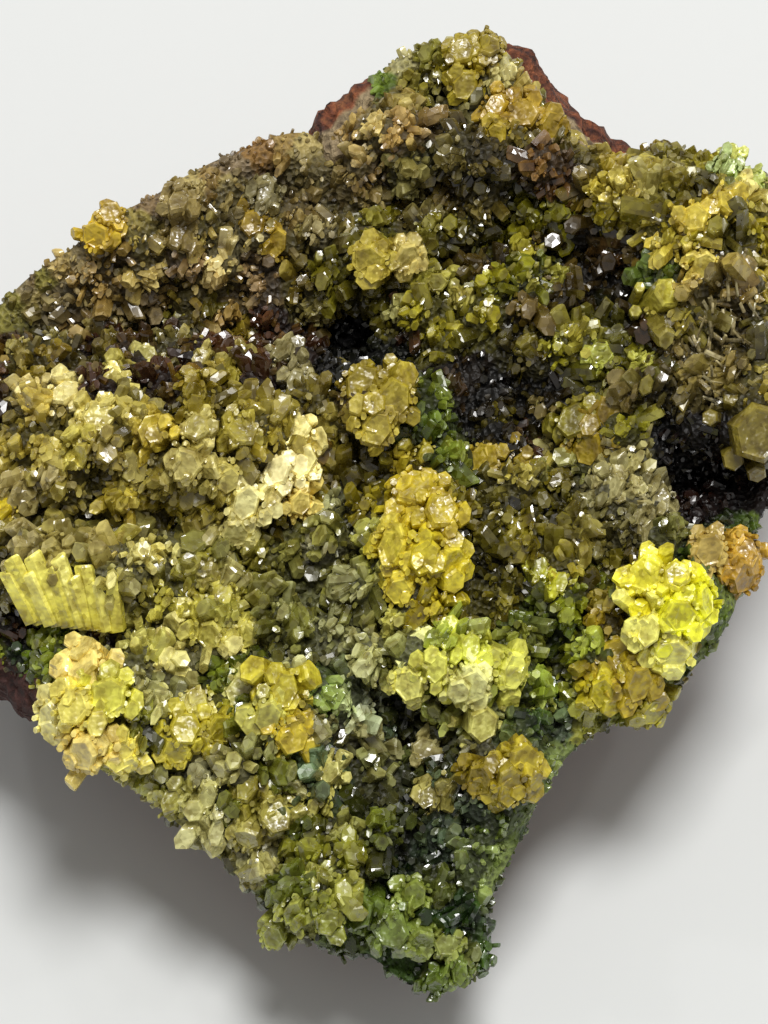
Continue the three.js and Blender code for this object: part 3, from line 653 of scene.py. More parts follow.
def rim_points(count):
    """Evenly spaced points along the outline, drawn as a closed smooth curve."""
    places = np.array(OUTLINE, float)[:, None]
    share = np.linspace(0, 1, 20, endpoint=False)[:, None]
    before, here, after, last = (np.roll(places, k, axis=0) for k in (1, 0, -1, -2))
    curve = 0.5 * (
        2 * here
        + (after - before) * share
        + (2 * before - 5 * here + 4 * after - last) * share**2
        + (3 * here - before - 3 * after + last) * share**3
    )
    curve = curve.reshape(-1, 2)
    curve = np.vstack([curve, curve[:1]])
    steps = np.linalg.norm(np.diff(curve, axis=0), axis=1)
    length = np.concatenate([[0], np.cumsum(steps)])
    at = np.linspace(0, length[-1], count, endpoint=False)
    return np.column_stack([np.interp(at, length, curve[:, k]) for k in (0, 1)])


def rim_share(x, y):
    """How far points lie from the face's middle, as a share of the way to the outline."""
    rim = rim_points(RIM_STEPS)
    angles = np.arctan2(rim[:, 1], rim[:, 0])
    reach = np.interp(np.arctan2(y, x), angles, np.hypot(*rim.T), period=2 * math.pi)
    return np.hypot(x, y) / reach


def surface_out(x, y):
    return face_out(x, y) - rim_drop(rim_share(x, y))


def turned(vectors):
    """Directions of the face's frame as directions of the specimen's frame."""
    lean = math.radians(FACE_LEAN)
    x, y, out = vectors.T
    up = y * math.cos(lean) - out * math.sin(lean)
    return np.column_stack([x, up, y * math.sin(lean) + out * math.cos(lean)])


def turned_back(vectors):
    """Directions of the specimen's frame as directions of the face's frame."""
    return vectors @ turned(np.eye(3)).T


def placed(points):
    """Points of the face's frame in millimetres as places in metres."""
    return (turned(points) + np.array([0, 0, FACE_LIFT])) * MM


def face_points(points):
    """Points of the specimen's frame in millimetres as points of the face's frame."""
    return turned_back(points - np.array([0, 0, FACE_LIFT]))


def stitch(inner, outer):
    """The triangles between two closed rings, each given as its first point and its count."""
    triangles = []
    i = j = 0
    (start, count), (wide_start, wide_count) = inner, outer
    while i < count or j < wide_count:
        left = start + i % count
        right = wide_start + j % wide_count
        if i < count and (i + 1) * wide_count <= (j + 1) * count:
            triangles.append((left, start + (i + 1) % count, right))
            i += 1
        else:
            triangles.append((left, wide_start + (j + 1) % wide_count, right))
            j += 1
    return triangles


def skin(rings):
    """Places and triangles of a closed skin from rings, the first and last of one point each."""
    spans, first = [], 0
    for ring in rings:
        spans.append((first, len(ring)))
        first += len(ring)
    triangles = [t for a, b in zip(spans, spans[1:]) for t in stitch(a, b)]
    kept = [t for t in triangles if len(set(t)) == 3]
    return np.vstack(rings), np.array(kept)


def mesh_from(name, places, corners, sizes):
    """A mesh from places, all faces' corners in a row, and how many corners each face has."""
    mesh = bpy.data.meshes.new(name)
    mesh.vertices.add(len(places))
    mesh.vertices.foreach_set("co", np.asarray(places, np.float32).ravel())
    mesh.loops.add(len(corners))
    mesh.loops.foreach_set("vertex_index", np.asarray(corners, np.int32).ravel())
    mesh.polygons.add(len(sizes))
    starts = np.concatenate([[0], np.cumsum(sizes)[:-1]])
    mesh.polygons.foreach_set("loop_start", starts.astype(np.int32))
    mesh.update(calc_edges=True)
    return mesh


def triangle_mesh(name, places, triangles):
    return mesh_from(name, places, triangles.ravel(), np.full(len(triangles), 3))


def normals_of(mesh):
    found = np.empty(len(mesh.vertices) * 3, np.float32)
    mesh.vertices.foreach_get("normal", found)
    return found.reshape(-1, 3).astype(float)


def set_tint(mesh, colours):
    """Keeps each point's own colour on the mesh for its material to read."""
    layer = mesh.color_attributes.new("tint", "FLOAT_COLOR", "POINT")
    full = np.column_stack([colours, np.ones(len(colours))])
    layer.data.foreach_set("color", full.astype(np.float32).ravel())


def piece_from(mesh, material, nodes=(), smooth=False):
    """A shown piece that rides on the specimen and stands for CAD nodes."""
    piece = bpy.data.objects.new(mesh.name, mesh)
    bpy.context.scene.collection.objects.link(piece)
    mesh.materials.append(material)
    mesh.polygons.foreach_set("use_smooth", np.full(len(mesh.polygons), smooth))
    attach(piece, "root")
    if nodes:
        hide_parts(*nodes)
    return piece


def sides_of(directions):
    """Two directions at right angles to each of these and to each other."""
    side = unit(np.cross(directions, OFF_AXIS))
    return side, np.cross(directions, side)


class Prisms:
    """Six-sided crystals to be joined in one mesh, each plain, chamfered or also rimmed."""

    NAMES = ("feet", "directions", "radii", "heights", "twists", "tints", "kinds")

    def __init__(self, feet, directions, radii, heights, twists, tints, kinds):
        self.feet = feet
        self.directions = unit(directions)
        self.radii = radii
        self.heights = heights
        self.twists = twists
        self.tints = tints
        self.kinds = np.full(len(feet), kinds) if np.isscalar(kinds) else kinds

    def __len__(self):
        return len(self.feet)

    def take(self, chosen):
        return Prisms(*(getattr(self, name)[chosen] for name in self.NAMES))

    @staticmethod
    def joined(parts):
        return Prisms(
            *(np.concatenate([getattr(p, name) for p in parts]) for name in Prisms.NAMES)
        )

    def rings(self):
        """Each ring's height, share of the width and tint, with painted shade at the foot and a
        painted highlight at the end, and whether it slants.
        """
        bevel = np.minimum(CHAMFER * self.radii, CHAMFER_LIMIT * self.heights)
        # The deep foot carries painted shade, and the pale end edges carry a painted highlight
        pale = self.tints * EDGE_TINT_AND_HIGHLIGHT + EDGE_HIGHLIGHT_WHITE * self.tints.max(axis=1, keepdims=True)
        rings = [(np.zeros(len(self)), 1.0, self.tints**FOOT_TINT_AND_SHADE_POWER * FOOT_TINT_AND_SHADE, 0)]
        if self.kinds[0] == PLAIN:
            rings.append((self.heights, PLAIN_END, lerp(self.tints, pale, 0.5), 1))
            return rings
        rings.append((self.heights - bevel, CHAMFER_FOOT, lerp(self.tints, pale, 0.3), 1))
        rings.append((self.heights, CHAMFER_TOP, pale, 1))
        if self.kinds[0] == RIMMED:
            inside = self.heights - RIM_DEPTH * self.radii
            rings.append((inside, RIM_INSIDE, self.tints, 1))
        return rings

    def shape(self, uneven, slanted, random):
        """Places and tints of crystals of one kind, deep at the foot and pale at the end.

        The deep foot is a deeper colour with painted shade, the pale end a paler colour with a
        painted highlight.
        """
        count = len(self)
        side, front = sides_of(self.directions)
        angles = self.twists[:, None] + np.arange(6) * math.pi / 3
        wide = 1 + uneven * (random.random((count, 6)) - 0.5)
        flat = lerp(1 - FLATTER * uneven, 1.0, random.random((count, 1, 1)))
        spokes = (
            np.cos(angles)[..., None] * side[:, None] * flat
            + np.sin(angles)[..., None] * front[:, None]
        ) * (wide * self.radii[:, None])[..., None]
        slant = slanted * (random.random((count, 2)) - 0.5)
        tilt = slant[:, :1] * np.cos(angles) + slant[:, 1:] * np.sin(angles)
        places, tints = [], []
        for height, share, tint, tilted in self.rings():
            lift = height[:, None] + tilted * tilt * self.radii[:, None]
            ring = self.feet[:, None] + spokes * share
            places.append(ring + lift[..., None] * self.directions[:, None])
            tints.append(np.repeat(tint[:, None], 6, axis=1))
        reach = self.heights - END_HOLLOW * self.radii
        middle = self.feet + self.directions * reach[:, None]
        places = np.concatenate([*places, middle[:, None]], axis=1)
        return places, np.concatenate([*tints, self.tints[:, None]], axis=1)

    def mesh(self, name, uneven, slanted, seed):
        """The mesh, with its tints and with a bake map that has a cell for each crystal."""
        random = np.random.default_rng(seed)
        across = math.ceil(math.sqrt(len(self)))
        first = cell = 0
        places, tints, corners, sizes, bake = [], [], [], [], []
        for kind in (RIMMED, CHAMFERED, PLAIN):
            chosen = np.flatnonzero(self.kinds == kind)
            count = len(chosen)
            if not count:
                continue
            at, tint = self.take(chosen).shape(uneven, slanted, random)
            faces, face_sizes, spots = prism_faces(kind)
            width = at.shape[1]
            places.append(at.reshape(-1, 3))
            tints.append(tint.reshape(-1, 3))
            corners.append((faces + first + width * np.arange(count)[:, None]).ravel())
            sizes.append(np.tile(face_sizes, count))
            number = cell + np.arange(count)
            cells = np.column_stack([number % across, number // across])
            bake.append(((cells[:, None] + spots) / across).reshape(-1, 2))
            first += width * count
            cell += count
        places = placed(np.vstack(places))
        mesh = mesh_from(name, places, np.concatenate(corners), np.concatenate(sizes))
        set_tint(mesh, np.vstack(tints))
        layer = mesh.uv_layers.new(name="OFBake")
        layer.uv.foreach_set("vector", np.vstack(bake).astype(np.float32).ravel())
        return mesh

    def rooted(self):
        """The same crystals with their feet set deeper."""
        feet = self.feet - self.directions * ROOT
        rest = (self.twists, self.tints, self.kinds)
        return Prisms(feet, self.directions, self.radii, self.heights + ROOT, *rest)


def prism_faces(rings):
    """Corners and sizes of one prism's faces, and each corner's spot in its bake cell."""
    corners, sizes, spots = [], [], []
    for ring in range(rings - 1):
        low, high = 6 * ring, 6 * ring + 6
        base, top = CELL_RING * ring + CELL_BASE, CELL_RING * ring + CELL_RING
        for i in range(6):
            j = (i + 1) % 6
            corners += [low + i, low + j, high + j, high + i]
            left, right = (CELL_SIDE * i + end for end in CELL_SPAN)
            spots += [(left, base), (right, base), (right, top), (left, top)]
            sizes.append(4)
    last = 6 * (rings - 1)
    turn = [math.pi / 3 * k for k in range(6)]
    x, y = CELL_END
    edge = [(x + CELL_RADIUS * math.cos(a), y + CELL_RADIUS * math.sin(a)) for a in turn]
    for i in range(6):
        j = (i + 1) % 6
        corners += [last + i, last + j, last + 6]
        spots += [edge[i], edge[j], CELL_END]
        sizes.append(3)
    corners += [5, 4, 3, 2, 1, 0]
    spots += [(x + CELL_FOOT, y) for x, y in reversed(edge)]
    sizes.append(6)
    return np.array(corners), np.array(sizes), np.array(spots)


def main_crystals(index):
    """The main crystals of a group, as in the solids, in the face's frame."""
    group = GROUPS[index]
    turn = math.radians(group.turn)
    order = np.arange(group.count)
    seeds = 100 * (index + 1) + order
    share = np.sqrt((order + 0.5) / group.count) if group.count > 1 else np.zeros(1)
    angle = order * SPIRAL + index
    along = group.half[0] * share * np.cos(angle)
    over = group.half[1] * share * np.sin(angle)
    x = group.at[0] + along * math.cos(turn) - over * math.sin(turn)
    y = group.at[1] + along * math.sin(turn) + over * math.cos(turn)
    directions = np.column_stack([
        group.lean[0] + group.splay * share * np.cos(angle + turn),
        group.lean[1] + group.splay * share * np.sin(angle + turn),
        np.ones(group.count),
    ])
    varied = [1 + SPREAD * (chance(seeds, channel) - 0.5) for channel in (1, 2)]
    tints = palette(group.tints)
    return Prisms(
        np.column_stack([x, y, surface_out(x, y)]),
        directions,
        group.size[0] * varied[0],
        group.size[1] * (1 - FALL_OFF * share**2) * varied[1],
        chance(seeds, 4) * math.pi,
        tints[order % len(tints)],
        RIMMED,
    )


def sprouts(main, each, seed, ring, thin, tall, fan, wander, kind=CHAMFERED):
    """Smaller crystals around each main one, at a share of the way out to its sides.

    ring, thin and tall are ranges of that share, of their radius and of their height, against
    the main crystal's own. fan leans them outwards and wander leans them at random.
    """
    random = np.random.default_rng(seed)
    count = len(main) * each
    parent = main.take(np.repeat(np.arange(len(main)), each))
    side, front = sides_of(parent.directions)
    even = np.tile(np.arange(each) / each, len(main))
    angle = (even + SPROUT_STRAY * random.random(count) / each) * 2 * math.pi
    sector = (angle - parent.twists) % (math.pi / 3) - math.pi / 6
    away = lerp(*ring, random.random(count)) * math.cos(math.pi / 6) / np.cos(sector)
    out = np.cos(angle)[:, None] * side + np.sin(angle)[:, None] * front
    lean = fan * out + wander * (random.random((count, 3)) - 0.5)
    return Prisms(
        parent.feet + out * (away * parent.radii)[:, None],
        parent.directions + lean,
        parent.radii * lerp(*thin, random.random(count)),
        parent.heights * lerp(*tall, random.random(count)),
        parent.twists + SPROUT_TURN * wander * (random.random(count) - 0.5),
        parent.tints * lerp(*SPROUT_SHADES, random.random((count, 1))),
        kind,
    )


def intergrown(main, seed, finest, loose=1.0, teeth=14, crumbs=3):
    """The main crystals with plates and blocks grown into them, toothed edges and crumbs.

    finest is the least radius of a tooth, over that of the crystal that it edges. loose is how
    far plates and blocks lean at random, and teeth and crumbs are how many each crystal gets.
    """
    ring, thin, tall = (0.3, 0.75), (0.45, 0.75), (0.84, 1.03)
    plates = sprouts(main, 3, seed, ring, thin, tall, fan=0.2, wander=0.5 * loose)
    ring, thin, tall = (0.6, 1.0), (0.42, 0.7), (0.45, 0.95)
    blocks = sprouts(main, 5, seed + 1, ring, thin, tall, fan=0.4, wander=0.9 * loose)
    ring, thin, tall = (0.8, 0.94), (finest, 2.2 * finest), (0.84, 0.99)
    edge = sprouts(main, teeth, seed + 2, ring, thin, tall, fan=0.05, wander=0.12, kind=PLAIN)
    ring, thin, tall = (0.6, 1.0), (0.16, 0.3), (0.5, 0.85)
    small = sprouts(main, crumbs, seed + 4, ring, thin, tall, fan=0.3, wander=0.5, kind=PLAIN)
    return Prisms.joined([main, plates, blocks, edge, small])


def comb(seed):
    """Flat columns side by side, whose free ends are the fingers of a plate."""
    random = np.random.default_rng(seed)
    count = len(COMB_FINGERS)
    share = np.linspace(0, 1, count)
    x, y = (lerp(COMB_FROM[k], COMB_TO[k], share) for k in (0, 1))
    lean = lerp(*np.array(COMB_LEAN), share[:, None])
    tints = palette(COMB.tints)
    return Prisms(
        np.column_stack([x, y, surface_out(x, y) + COMB_OUT]),
        lean + COMB_STRAY * (random.random((count, 3)) - 0.5),
        np.full(count, COMB_COLUMN),
        np.array(COMB_FINGERS, float),
        random.random(count) * COMB_TURN,
        tints[np.arange(count) % len(tints)],
        CHAMFERED,
    )


class Value:
    """A shader socket that can be used in sums and products."""

    def __init__(self, shader, socket):
        self.shader = shader
        self.socket = socket

    def joined(self, operation, other):
        sockets = {0: self, 1: other}
        return self.shader.add("ShaderNodeMath", {"operation": operation}, sockets, "Value")

    def __add__(self, other):
        return self.joined("ADD", other)

    def __mul__(self, other):
        return self.joined("MULTIPLY", other)

    __radd__ = __add__
    __rmul__ = __mul__


class Shader:
    """A material whose nodes are added one at a time."""

    def __init__(self, name):
        self.material = bpy.data.materials.new(name)
        self.material.use_nodes = True
        self.tree = self.material.node_tree
        self.tree.nodes.clear()

    def add(self, kind, settings=None, sockets=None, output=None):
        """Adds a node with its settings first, then its sockets' values or links."""
        node = self.tree.nodes.new(kind)
        for name, value in (settings or {}).items():
            setattr(node, name, value)
        for name, value in (sockets or {}).items():
            if isinstance(value, Value):
                self.tree.links.new(value.socket, node.inputs[name])
            else:
                node.inputs[name].default_value = value
        return Value(self, node.outputs[output]) if output is not None else node

    def noise(self, scale, detail=3, rough=0.55):
        sockets = {"Vector": self.place(), "Scale": scale, "Detail": detail, "Roughness": rough}
        return self.add("ShaderNodeTexNoise", None, sockets, "Fac")

    def cells(self, scale, output="Distance"):
        sockets = {"Vector": self.place(), "Scale": scale}
        return self.add("ShaderNodeTexVoronoi", None, sockets, output)

    def vector(self, operation, *terms):
        sockets = dict(enumerate(terms))
        return self.add("ShaderNodeVectorMath", {"operation": operation}, sockets, "Vector")

    def facets(self, cells, tilt):
        """The surface's direction with a turn that jumps from cell to cell, as over facets."""
        normal = self.add("ShaderNodeNewGeometry", None, None, "Normal")
        jump = self.vector("SUBTRACT", cells, (0.5, 0.5, 0.5))
        moved = self.vector("MULTIPLY_ADD", jump, (tilt, tilt, tilt), normal)
        return self.vector("NORMALIZE", moved)

    def place(self):
        return self.add("ShaderNodeTexCoord", None, None, "Object")

    def tint(self):
        return self.add("ShaderNodeAttribute", {"attribute_name": "tint"}, None, "Color")

    def tint_part(self, index):
        """One of the tint's three numbers, where they are masks."""
        return self.add("ShaderNodeSeparateColor", None, {0: self.tint()}, index)

    def steps(self, value, start, end):
        """0 up to start and 1 from end."""
        sockets = {0: value, 1: start, 2: end, 3: 0, 4: 1}
        return self.add("ShaderNodeMapRange", None, sockets, "Result")

    def mix(self, share, first, second, blend="MIX"):
        settings = {"data_type": "RGBA", "blend_type": blend}
        return self.add("ShaderNodeMix", settings, {0: share, 6: first, 7: second}, 2)

    def times(self, first, second):
        """The product of two colours."""
        return self.mix(1.0, first, second, "MULTIPLY")

    def bump(self, height, distance, strength=1.0, normal=None):
        sockets = {"Height": height, "Distance": distance, "Strength": strength}
        if normal is not None:
            sockets["Normal"] = normal
        return self.add("ShaderNodeBump", None, sockets, "Normal")

    def finished(self, **sockets):
        """Joins a Principled shader with these sockets to the output."""
        named = {key.replace("_", " "): value for key, value in sockets.items()}
        shader = self.add("ShaderNodeBsdfPrincipled", None, named, "BSDF")
        self.add("ShaderNodeOutputMaterial", None, {"Surface": shader})
        return self.material


def crystal_material(name, look, grain, clearness, sugar, dull, wavy=True):
    """Crystal with lighter and deeper blotches, whose faces are broken by small facets.

    grain is the number of facets a metre, sugar says how strong they are, and dull is the least
    roughness. A wavy one also has soft waves over its faces.
    """
    shader = Shader(name)
    cloud = shader.noise(900, detail=2, rough=0.65)
    speck = shader.cells(grain, "Color")
    share = shader.steps(cloud + 0.35 * sugar * speck, 0.36 + 0.12 * sugar, 0.66 + 0.18 * sugar)
    dark, light = (shader.times(shader.tint(), blotch) for blotch in (DEEP_BLOTCH, LIGHT_BLOTCH))
    normal = shader.facets(speck, look.facet_tilt * sugar)
    if wavy:
        waves = shader.noise(2200, detail=1)
        normal = shader.bump(waves, distance=0.0002, strength=0.7, normal=normal)
    return shader.finished(
        Base_Color=shader.mix(share, dark, light),
        Roughness=dull + 0.28 * speck,
        IOR=look.crystal_ior,
        Specular_IOR_Level=0.5,
        Transmission_Weight=clearness,
        Normal=normal,
    )


def rock_material(look):
    """Rusty iron-oxide rock: dark brown with rust and ochre, granular, pale next to the crust."""
    shader = Shader("gossan")
    patches = shader.steps(shader.noise(420, detail=6, rough=0.75), 0.4, 0.6)
    ochre = shader.steps(shader.noise(520, detail=5, rough=0.7), 0.54, 0.7)
    grains = shader.cells(1500)
    pale = shader.steps(shader.tint_part(0) + 0.7 * shader.noise(600, detail=4), 0.8, 1.1)
    colour = shader.mix(patches, (*look.rock_dark, 1), (*look.rock_rust, 1))
    colour = shader.mix(ochre * 0.7, colour, (*look.rock_ochre, 1))
    colour = shader.mix(pale, colour, (*look.rock_pale, 1))
    colour = shader.mix(shader.tint_part(1), colour, (*look.rock_dark, 1))
    # The grain's tone with painted shade in its low spots and painted light on its tops
    grain_tone_and_shade = shader.mix(shader.steps(grains, 0.1, 0.6), ROCK_GAP_TONE_AND_SHADE, ROCK_GRAIN_TONE_AND_LIGHT)
    height = grains * 0.5 + shader.noise(700, detail=5, rough=0.6)
    return shader.finished(
        Base_Color=shader.times(colour, grain_tone_and_shade),
        Roughness=0.68 + 0.25 * shader.noise(1200, detail=2),
        Normal=shader.bump(height, distance=0.0012),
    )


def ground_material():
    """The crust between its crystals: granular, stained by the zone that it lies in, dark with
    painted shade.
    """
    shader = Shader("crust ground")
    grains = shader.cells(2600)
    # The grain's tone with painted shade in its low spots and painted light on its tops
    spots = shader.mix(shader.steps(grains, 0.05, 0.55), GROUND_GAP_TONE_AND_SHADE, GROUND_GRAIN_TONE_AND_LIGHT)
    return shader.finished(
        Base_Color=shader.times(shader.tint(), spots),
        Roughness=0.4 + 0.35 * shader.noise(1800, detail=2),
        Normal=shader.bump(grains + shader.noise(900, detail=4), distance=0.0003, strength=0.9),
    )


def floor_material(look):
    shader = Shader("paper")
    grain = 0.1 * shader.noise(700, detail=4)
    colour = shader.mix(grain, (*look.floor_colour, 1), PAPER_GRAIN)
    return shader.finished(Base_Color=colour, Roughness=0.85)


def length_property(name, description, millimetres):
    return FloatProperty(
        name=name, description=description, default=millimetres * MM, unit="LENGTH"
    )


def colour_property(name, description, default):
    return FloatVectorProperty(
        name=name, description=description, default=default, subtype="COLOR", min=0, max=1
    )


class SpecimenSizes(bpy.types.PropertyGroup):
    """Sizes of the detail that grows on the specimen."""

    rock_chips: length_property(
        "Rock chips", "How deep the chips of the rock's sides go", 1.4
    )
    tuft_spacing: length_property(
        "Tuft spacing", "Distance between the middles of neighbouring crystal tufts", 2.05
    )
    tuft_height: length_property(
        "Tuft height", "How far a tuft's middle stands above its edge", 1.1
    )
    fine_crystals: IntProperty(
        name="Fine crystals",
        description="How many fine crystals are tried over the crust",
        default=9000,
    )
    stout_crystals: IntProperty(
        name="Stout crystals",
        description="How many stout crystals are tried over the crust",
        default=1900,
    )
    tooth: FloatProperty(
        name="Tooth",
        description="Radius of the finest crystals of a group over that of the one they edge",
        default=0.1,
        min=0.02,
        max=0.5,
    )
    camera_distance: length_property(
        "Camera distance", "From the camera to the middle of the crystal face", 240
    )
    aim_up: length_property(
        "Aim", "How far up the face the camera aims from its middle", -0.6
    )


class SpecimenLook(bpy.types.PropertyGroup):
    """Colours and optical values of the specimen and its stage."""

    rock_dark: colour_property("Dark rock", "The rock's purple brown", (0.06, 0.02, 0.016))
    rock_rust: colour_property("Rust", "The rock's rusty patches", (0.31, 0.098, 0.036))
    rock_ochre: colour_property(
        "Ochre", "The rock's yellow-brown spots", (0.36, 0.15, 0.055)
    )
    rock_pale: colour_property(
        "Pale rock", "The grey tan skin of the rock next to the crust", (0.34, 0.27, 0.16)
    )
    floor_colour: colour_property(
        "Floor", "The paper that the specimen lies on", (0.77, 0.79, 0.79)
    )
    crystal_ior: FloatProperty(
        name="Refraction",
        description="Index of refraction of the crystals",
        default=1.9,
        min=1,
        max=3,
    )
    druse_clearness: FloatProperty(
        name="Druse clearness",
        description="How much light goes through the small crystals",
        default=0.25,
        min=0,
        max=1,
        subtype="FACTOR",
    )
    facet_tilt: FloatProperty(
        name="Facet tilt",
        description="How far the small facets of the crystals lean away from their faces",
        default=0.4,
        min=0,
        max=2,
    )
    light_strength: FloatProperty(
        name="Light strength",
        description="Power of the large soft light",
        default=1.8,
        unit="POWER",
    )


def crust_rings():
    """Rings of the crust's face from its middle to the rim and down its lip."""
    found = [np.array([[0.0, 0.0, float(face_out(0.0, 0.0))]])]
    for ring in range(1, FACE_RINGS + 1):
        rim = rim_points(6 * ring)
        reach = ring / FACE_RINGS * lerp(BARE_CRUST, 1, cover(*rim.T)) * CRUST_INSET
        x, y = (rim * reach[:, None]).T
        found.append(np.column_stack([x, y, face_out(x, y) - rim_drop(reach)]))
    edge = found[-1]
    for ring in range(1, LIP_RINGS + 1):
        down = ring / LIP_RINGS
        tuck = 1 - LIP_TUCK * down**2
        lowered = edge * np.array([tuck, tuck, 1])
        lowered[:, 2] -= LIP * down
        found.append(lowered)
    middle = found[-1].mean(axis=0, keepdims=True) - np.array([[0, 0, UNDER_DIP]])
    return [*found, middle]


def zone_weights(places):
    """How strongly each zone acts at places of the face."""
    x, y = places[:, 0], places[:, 1]
    return np.column_stack(
        [zone.strength * bell(x, y, zone.at, zone.half, zone.turn) for zone in ZONES]
    )


def zone_values(weights, field):
    """A number of the zones, mixed by their weights."""
    values = np.array([getattr(zone, field) for zone in ZONES])
    return weights @ values / np.maximum(weights.sum(axis=1), 1e-9)


def zone_tints(zones, picks):
    """A tint out of each zone's palette, for picks from 0 to 1."""
    palettes = [palette(zone.tints) for zone in ZONES]
    picked = zip(zones, picks)
    return np.array([palettes[zone][int(pick * len(palettes[zone]))] for zone, pick in picked])


class Ground:
    """The crust's surface between its crystals, and a way to scatter things over it."""

    def __init__(self):
        places, self.triangles = skin(crust_rings())
        self.face_count = 6 * FACE_RINGS * FACE_RINGS + 2 * LIP_RINGS * 6 * FACE_RINGS
        wide, fine = layered(places, size=2.4, seed=11), layered(places, size=0.7, seed=23)
        lumps = wide * 0.9 + fine * 0.35
        places[:, 2] += lumps + CLUMP_HEIGHT * (clump(places) - CLUMP_LEVEL)
        self.places = places
        self.find_normals()

    def find_normals(self):
        mesh = triangle_mesh("ground", placed(self.places), self.triangles)
        self.normals = unit(turned_back(normals_of(mesh)))
        bpy.data.meshes.remove(mesh)

    def raise_tufts(self, tufts, height):
        """Lifts the ground in a dome under each tuft, and the tuft's middle with it."""
        found, step = nearest(self.places, tufts.middles)
        near = np.linalg.norm(step, axis=1) / tufts.spacing
        dome = np.clip(1 - (near / DOME_REACH) ** 2, 0, 1) * tufts.tall[found]
        inside = 1 - smoothstep(rim_share(*self.places[:, :2].T), *DOME_FADE)
        self.places = self.places + self.normals * (height * dome * inside)[:, None]
        inside = 1 - smoothstep(rim_share(*tufts.middles[:, :2].T), *DOME_FADE)
        lift = height * tufts.tall * inside
        tufts.middles = tufts.middles + tufts.normals * lift[:, None]
        self.find_normals()

    def scatter(self, count, seed):
        """Places and normals spread evenly over the face and the lip."""
        random = np.random.default_rng(seed)
        shown = self.triangles[: self.face_count]
        a, b, c = (self.places[shown[:, k]] for k in range(3))
        area = np.linalg.norm(np.cross(b - a, c - a), axis=1) / 2
        total = np.cumsum(area)
        at = (np.arange(count) + random.random(count)) * total[-1] / count
        chosen = np.searchsorted(total, at).clip(0, len(shown) - 1)
        u, v = random.random((2, count))
        over = u + v > 1
        u, v = np.where(over, 1 - u, u), np.where(over, 1 - v, v)
        parts = np.column_stack([1 - u - v, u, v])[..., None]
        corners = shown[chosen]
        places = (self.places[corners] * parts).sum(axis=1)
        return places, unit((self.normals[corners] * parts).sum(axis=1))


def nearest(places, middles):
    """For each place, which middle is nearest, and the step from it."""
    tree = KDTree(len(middles))
    for i, middle in enumerate(middles):
        tree.insert(middle, i)
    tree.balance()
    found = np.array([tree.find(place)[1] for place in places])
    return found, places - middles[found]


class Tufts:
    """Small bosses of the crust, whose crystals spread from one middle and share a tint."""

    def __init__(self, ground, spacing, seed):
        random = np.random.default_rng(seed)
        self.spacing = spacing
        self.middles, self.normals = ground.scatter(int(FACE_AREA / spacing**2), seed)
        self.weights = zone_weights(self.middles)
        drawn = self.weights**ZONE_CHOICE * -1 / np.log(random.random(self.weights.shape) + 1e-12)
        self.zones = drawn.argmax(axis=1)
        self.tints = zone_tints(self.zones, random.random(len(self.middles)))
        self.tall = lerp(*DOME_RANGE, random.random(len(self.middles)))


def crust_crystals(ground, tufts, taken, count, size, seed, kind):
    """Crystals scattered over the crust in tufts. size is their radius over the zone's own."""
    random = np.random.default_rng(seed)
    places, normals = ground.scatter(count, seed)
    kept = clear_of(places, -OVERLAP, taken) & ~bare(places)
    places, normals, count = places[kept], normals[kept], kept.sum()
    tuft, step = nearest(places, tufts.middles)
    step = step - normals * (step * normals).sum(axis=1, keepdims=True)
    near = np.linalg.norm(step, axis=1) / tufts.spacing
    weights = zone_weights(places)
    radii = zone_values(weights, "radius") * lerp(*size, random.random(count) ** SMALL_POWER)
    out = rim_share(places[:, 0], places[:, 1])
    directions = normals + TUFT_SPLAY * step / tufts.spacing
    tilt = zone_values(weights, "tilt")[:, None]
    directions = unit(directions + tilt * (random.random((count, 3)) - 0.5) * TILT_RANGE)
    thin, *fade = RIM_THIN
    radii = radii * lerp(1, thin, smoothstep(out, *fade))
    heights = radii * zone_values(weights, "stout") * lerp(*HEIGHT_RANGE, random.random(count))
    short, *fade = RIM_SHORT
    heights = heights * lerp(1, short, smoothstep(out, *fade))
    sunk = SUNK * radii
    feet = places - directions * sunk[:, None]
    other = zone_tints(tufts.zones[tuft], random.random(count))
    tints = lerp(tufts.tints[tuft], other, TINT_MIX * random.random((count, 1)))
    tints = tints * lerp(*OWN_SHADES, random.random((count, 1)))
    # Painted shade, darker towards a tuft's edge where tufts meet
    tints = tints * lerp(*PAINTED_TUFT_SHADE, smoothstep(near, *TUFT_EDGE))[:, None]
    # Painted shade in the deep hollows
    tints = tints * lerp(1, PAINTED_GLOOM_SHADE, gloom(*places[:, :2].T))[:, None]
    # Painted shade in the gaps between the large clumps, painted light on their tops
    tints = tints * lerp(*PAINTED_CLUMP_SHADE_AND_LIGHT, clump(places))[:, None]
    turns = random.random(count) * math.pi
    return Prisms(feet, directions, radii, heights + sunk, turns, tints, kind)


def clear_of(places, reach, crystals):
    """Which places lie further than their own reach from the middles of larger crystals."""
    free = np.ones(len(places), bool)
    for share in (0.2, 0.7):
        middles = crystals.feet + crystals.directions * (crystals.heights * share)[:, None]
        found, step = nearest(places, middles)
        free &= np.linalg.norm(step, axis=1) > crystals.radii[found] + reach
    return free


def bare(places):
    """Which places lie on a stretch of the rim where the rock shows."""
    x, y = places[:, 0], places[:, 1]
    return (rim_share(x, y) > BARE_CRUST) & (cover(x, y) < 0.5)


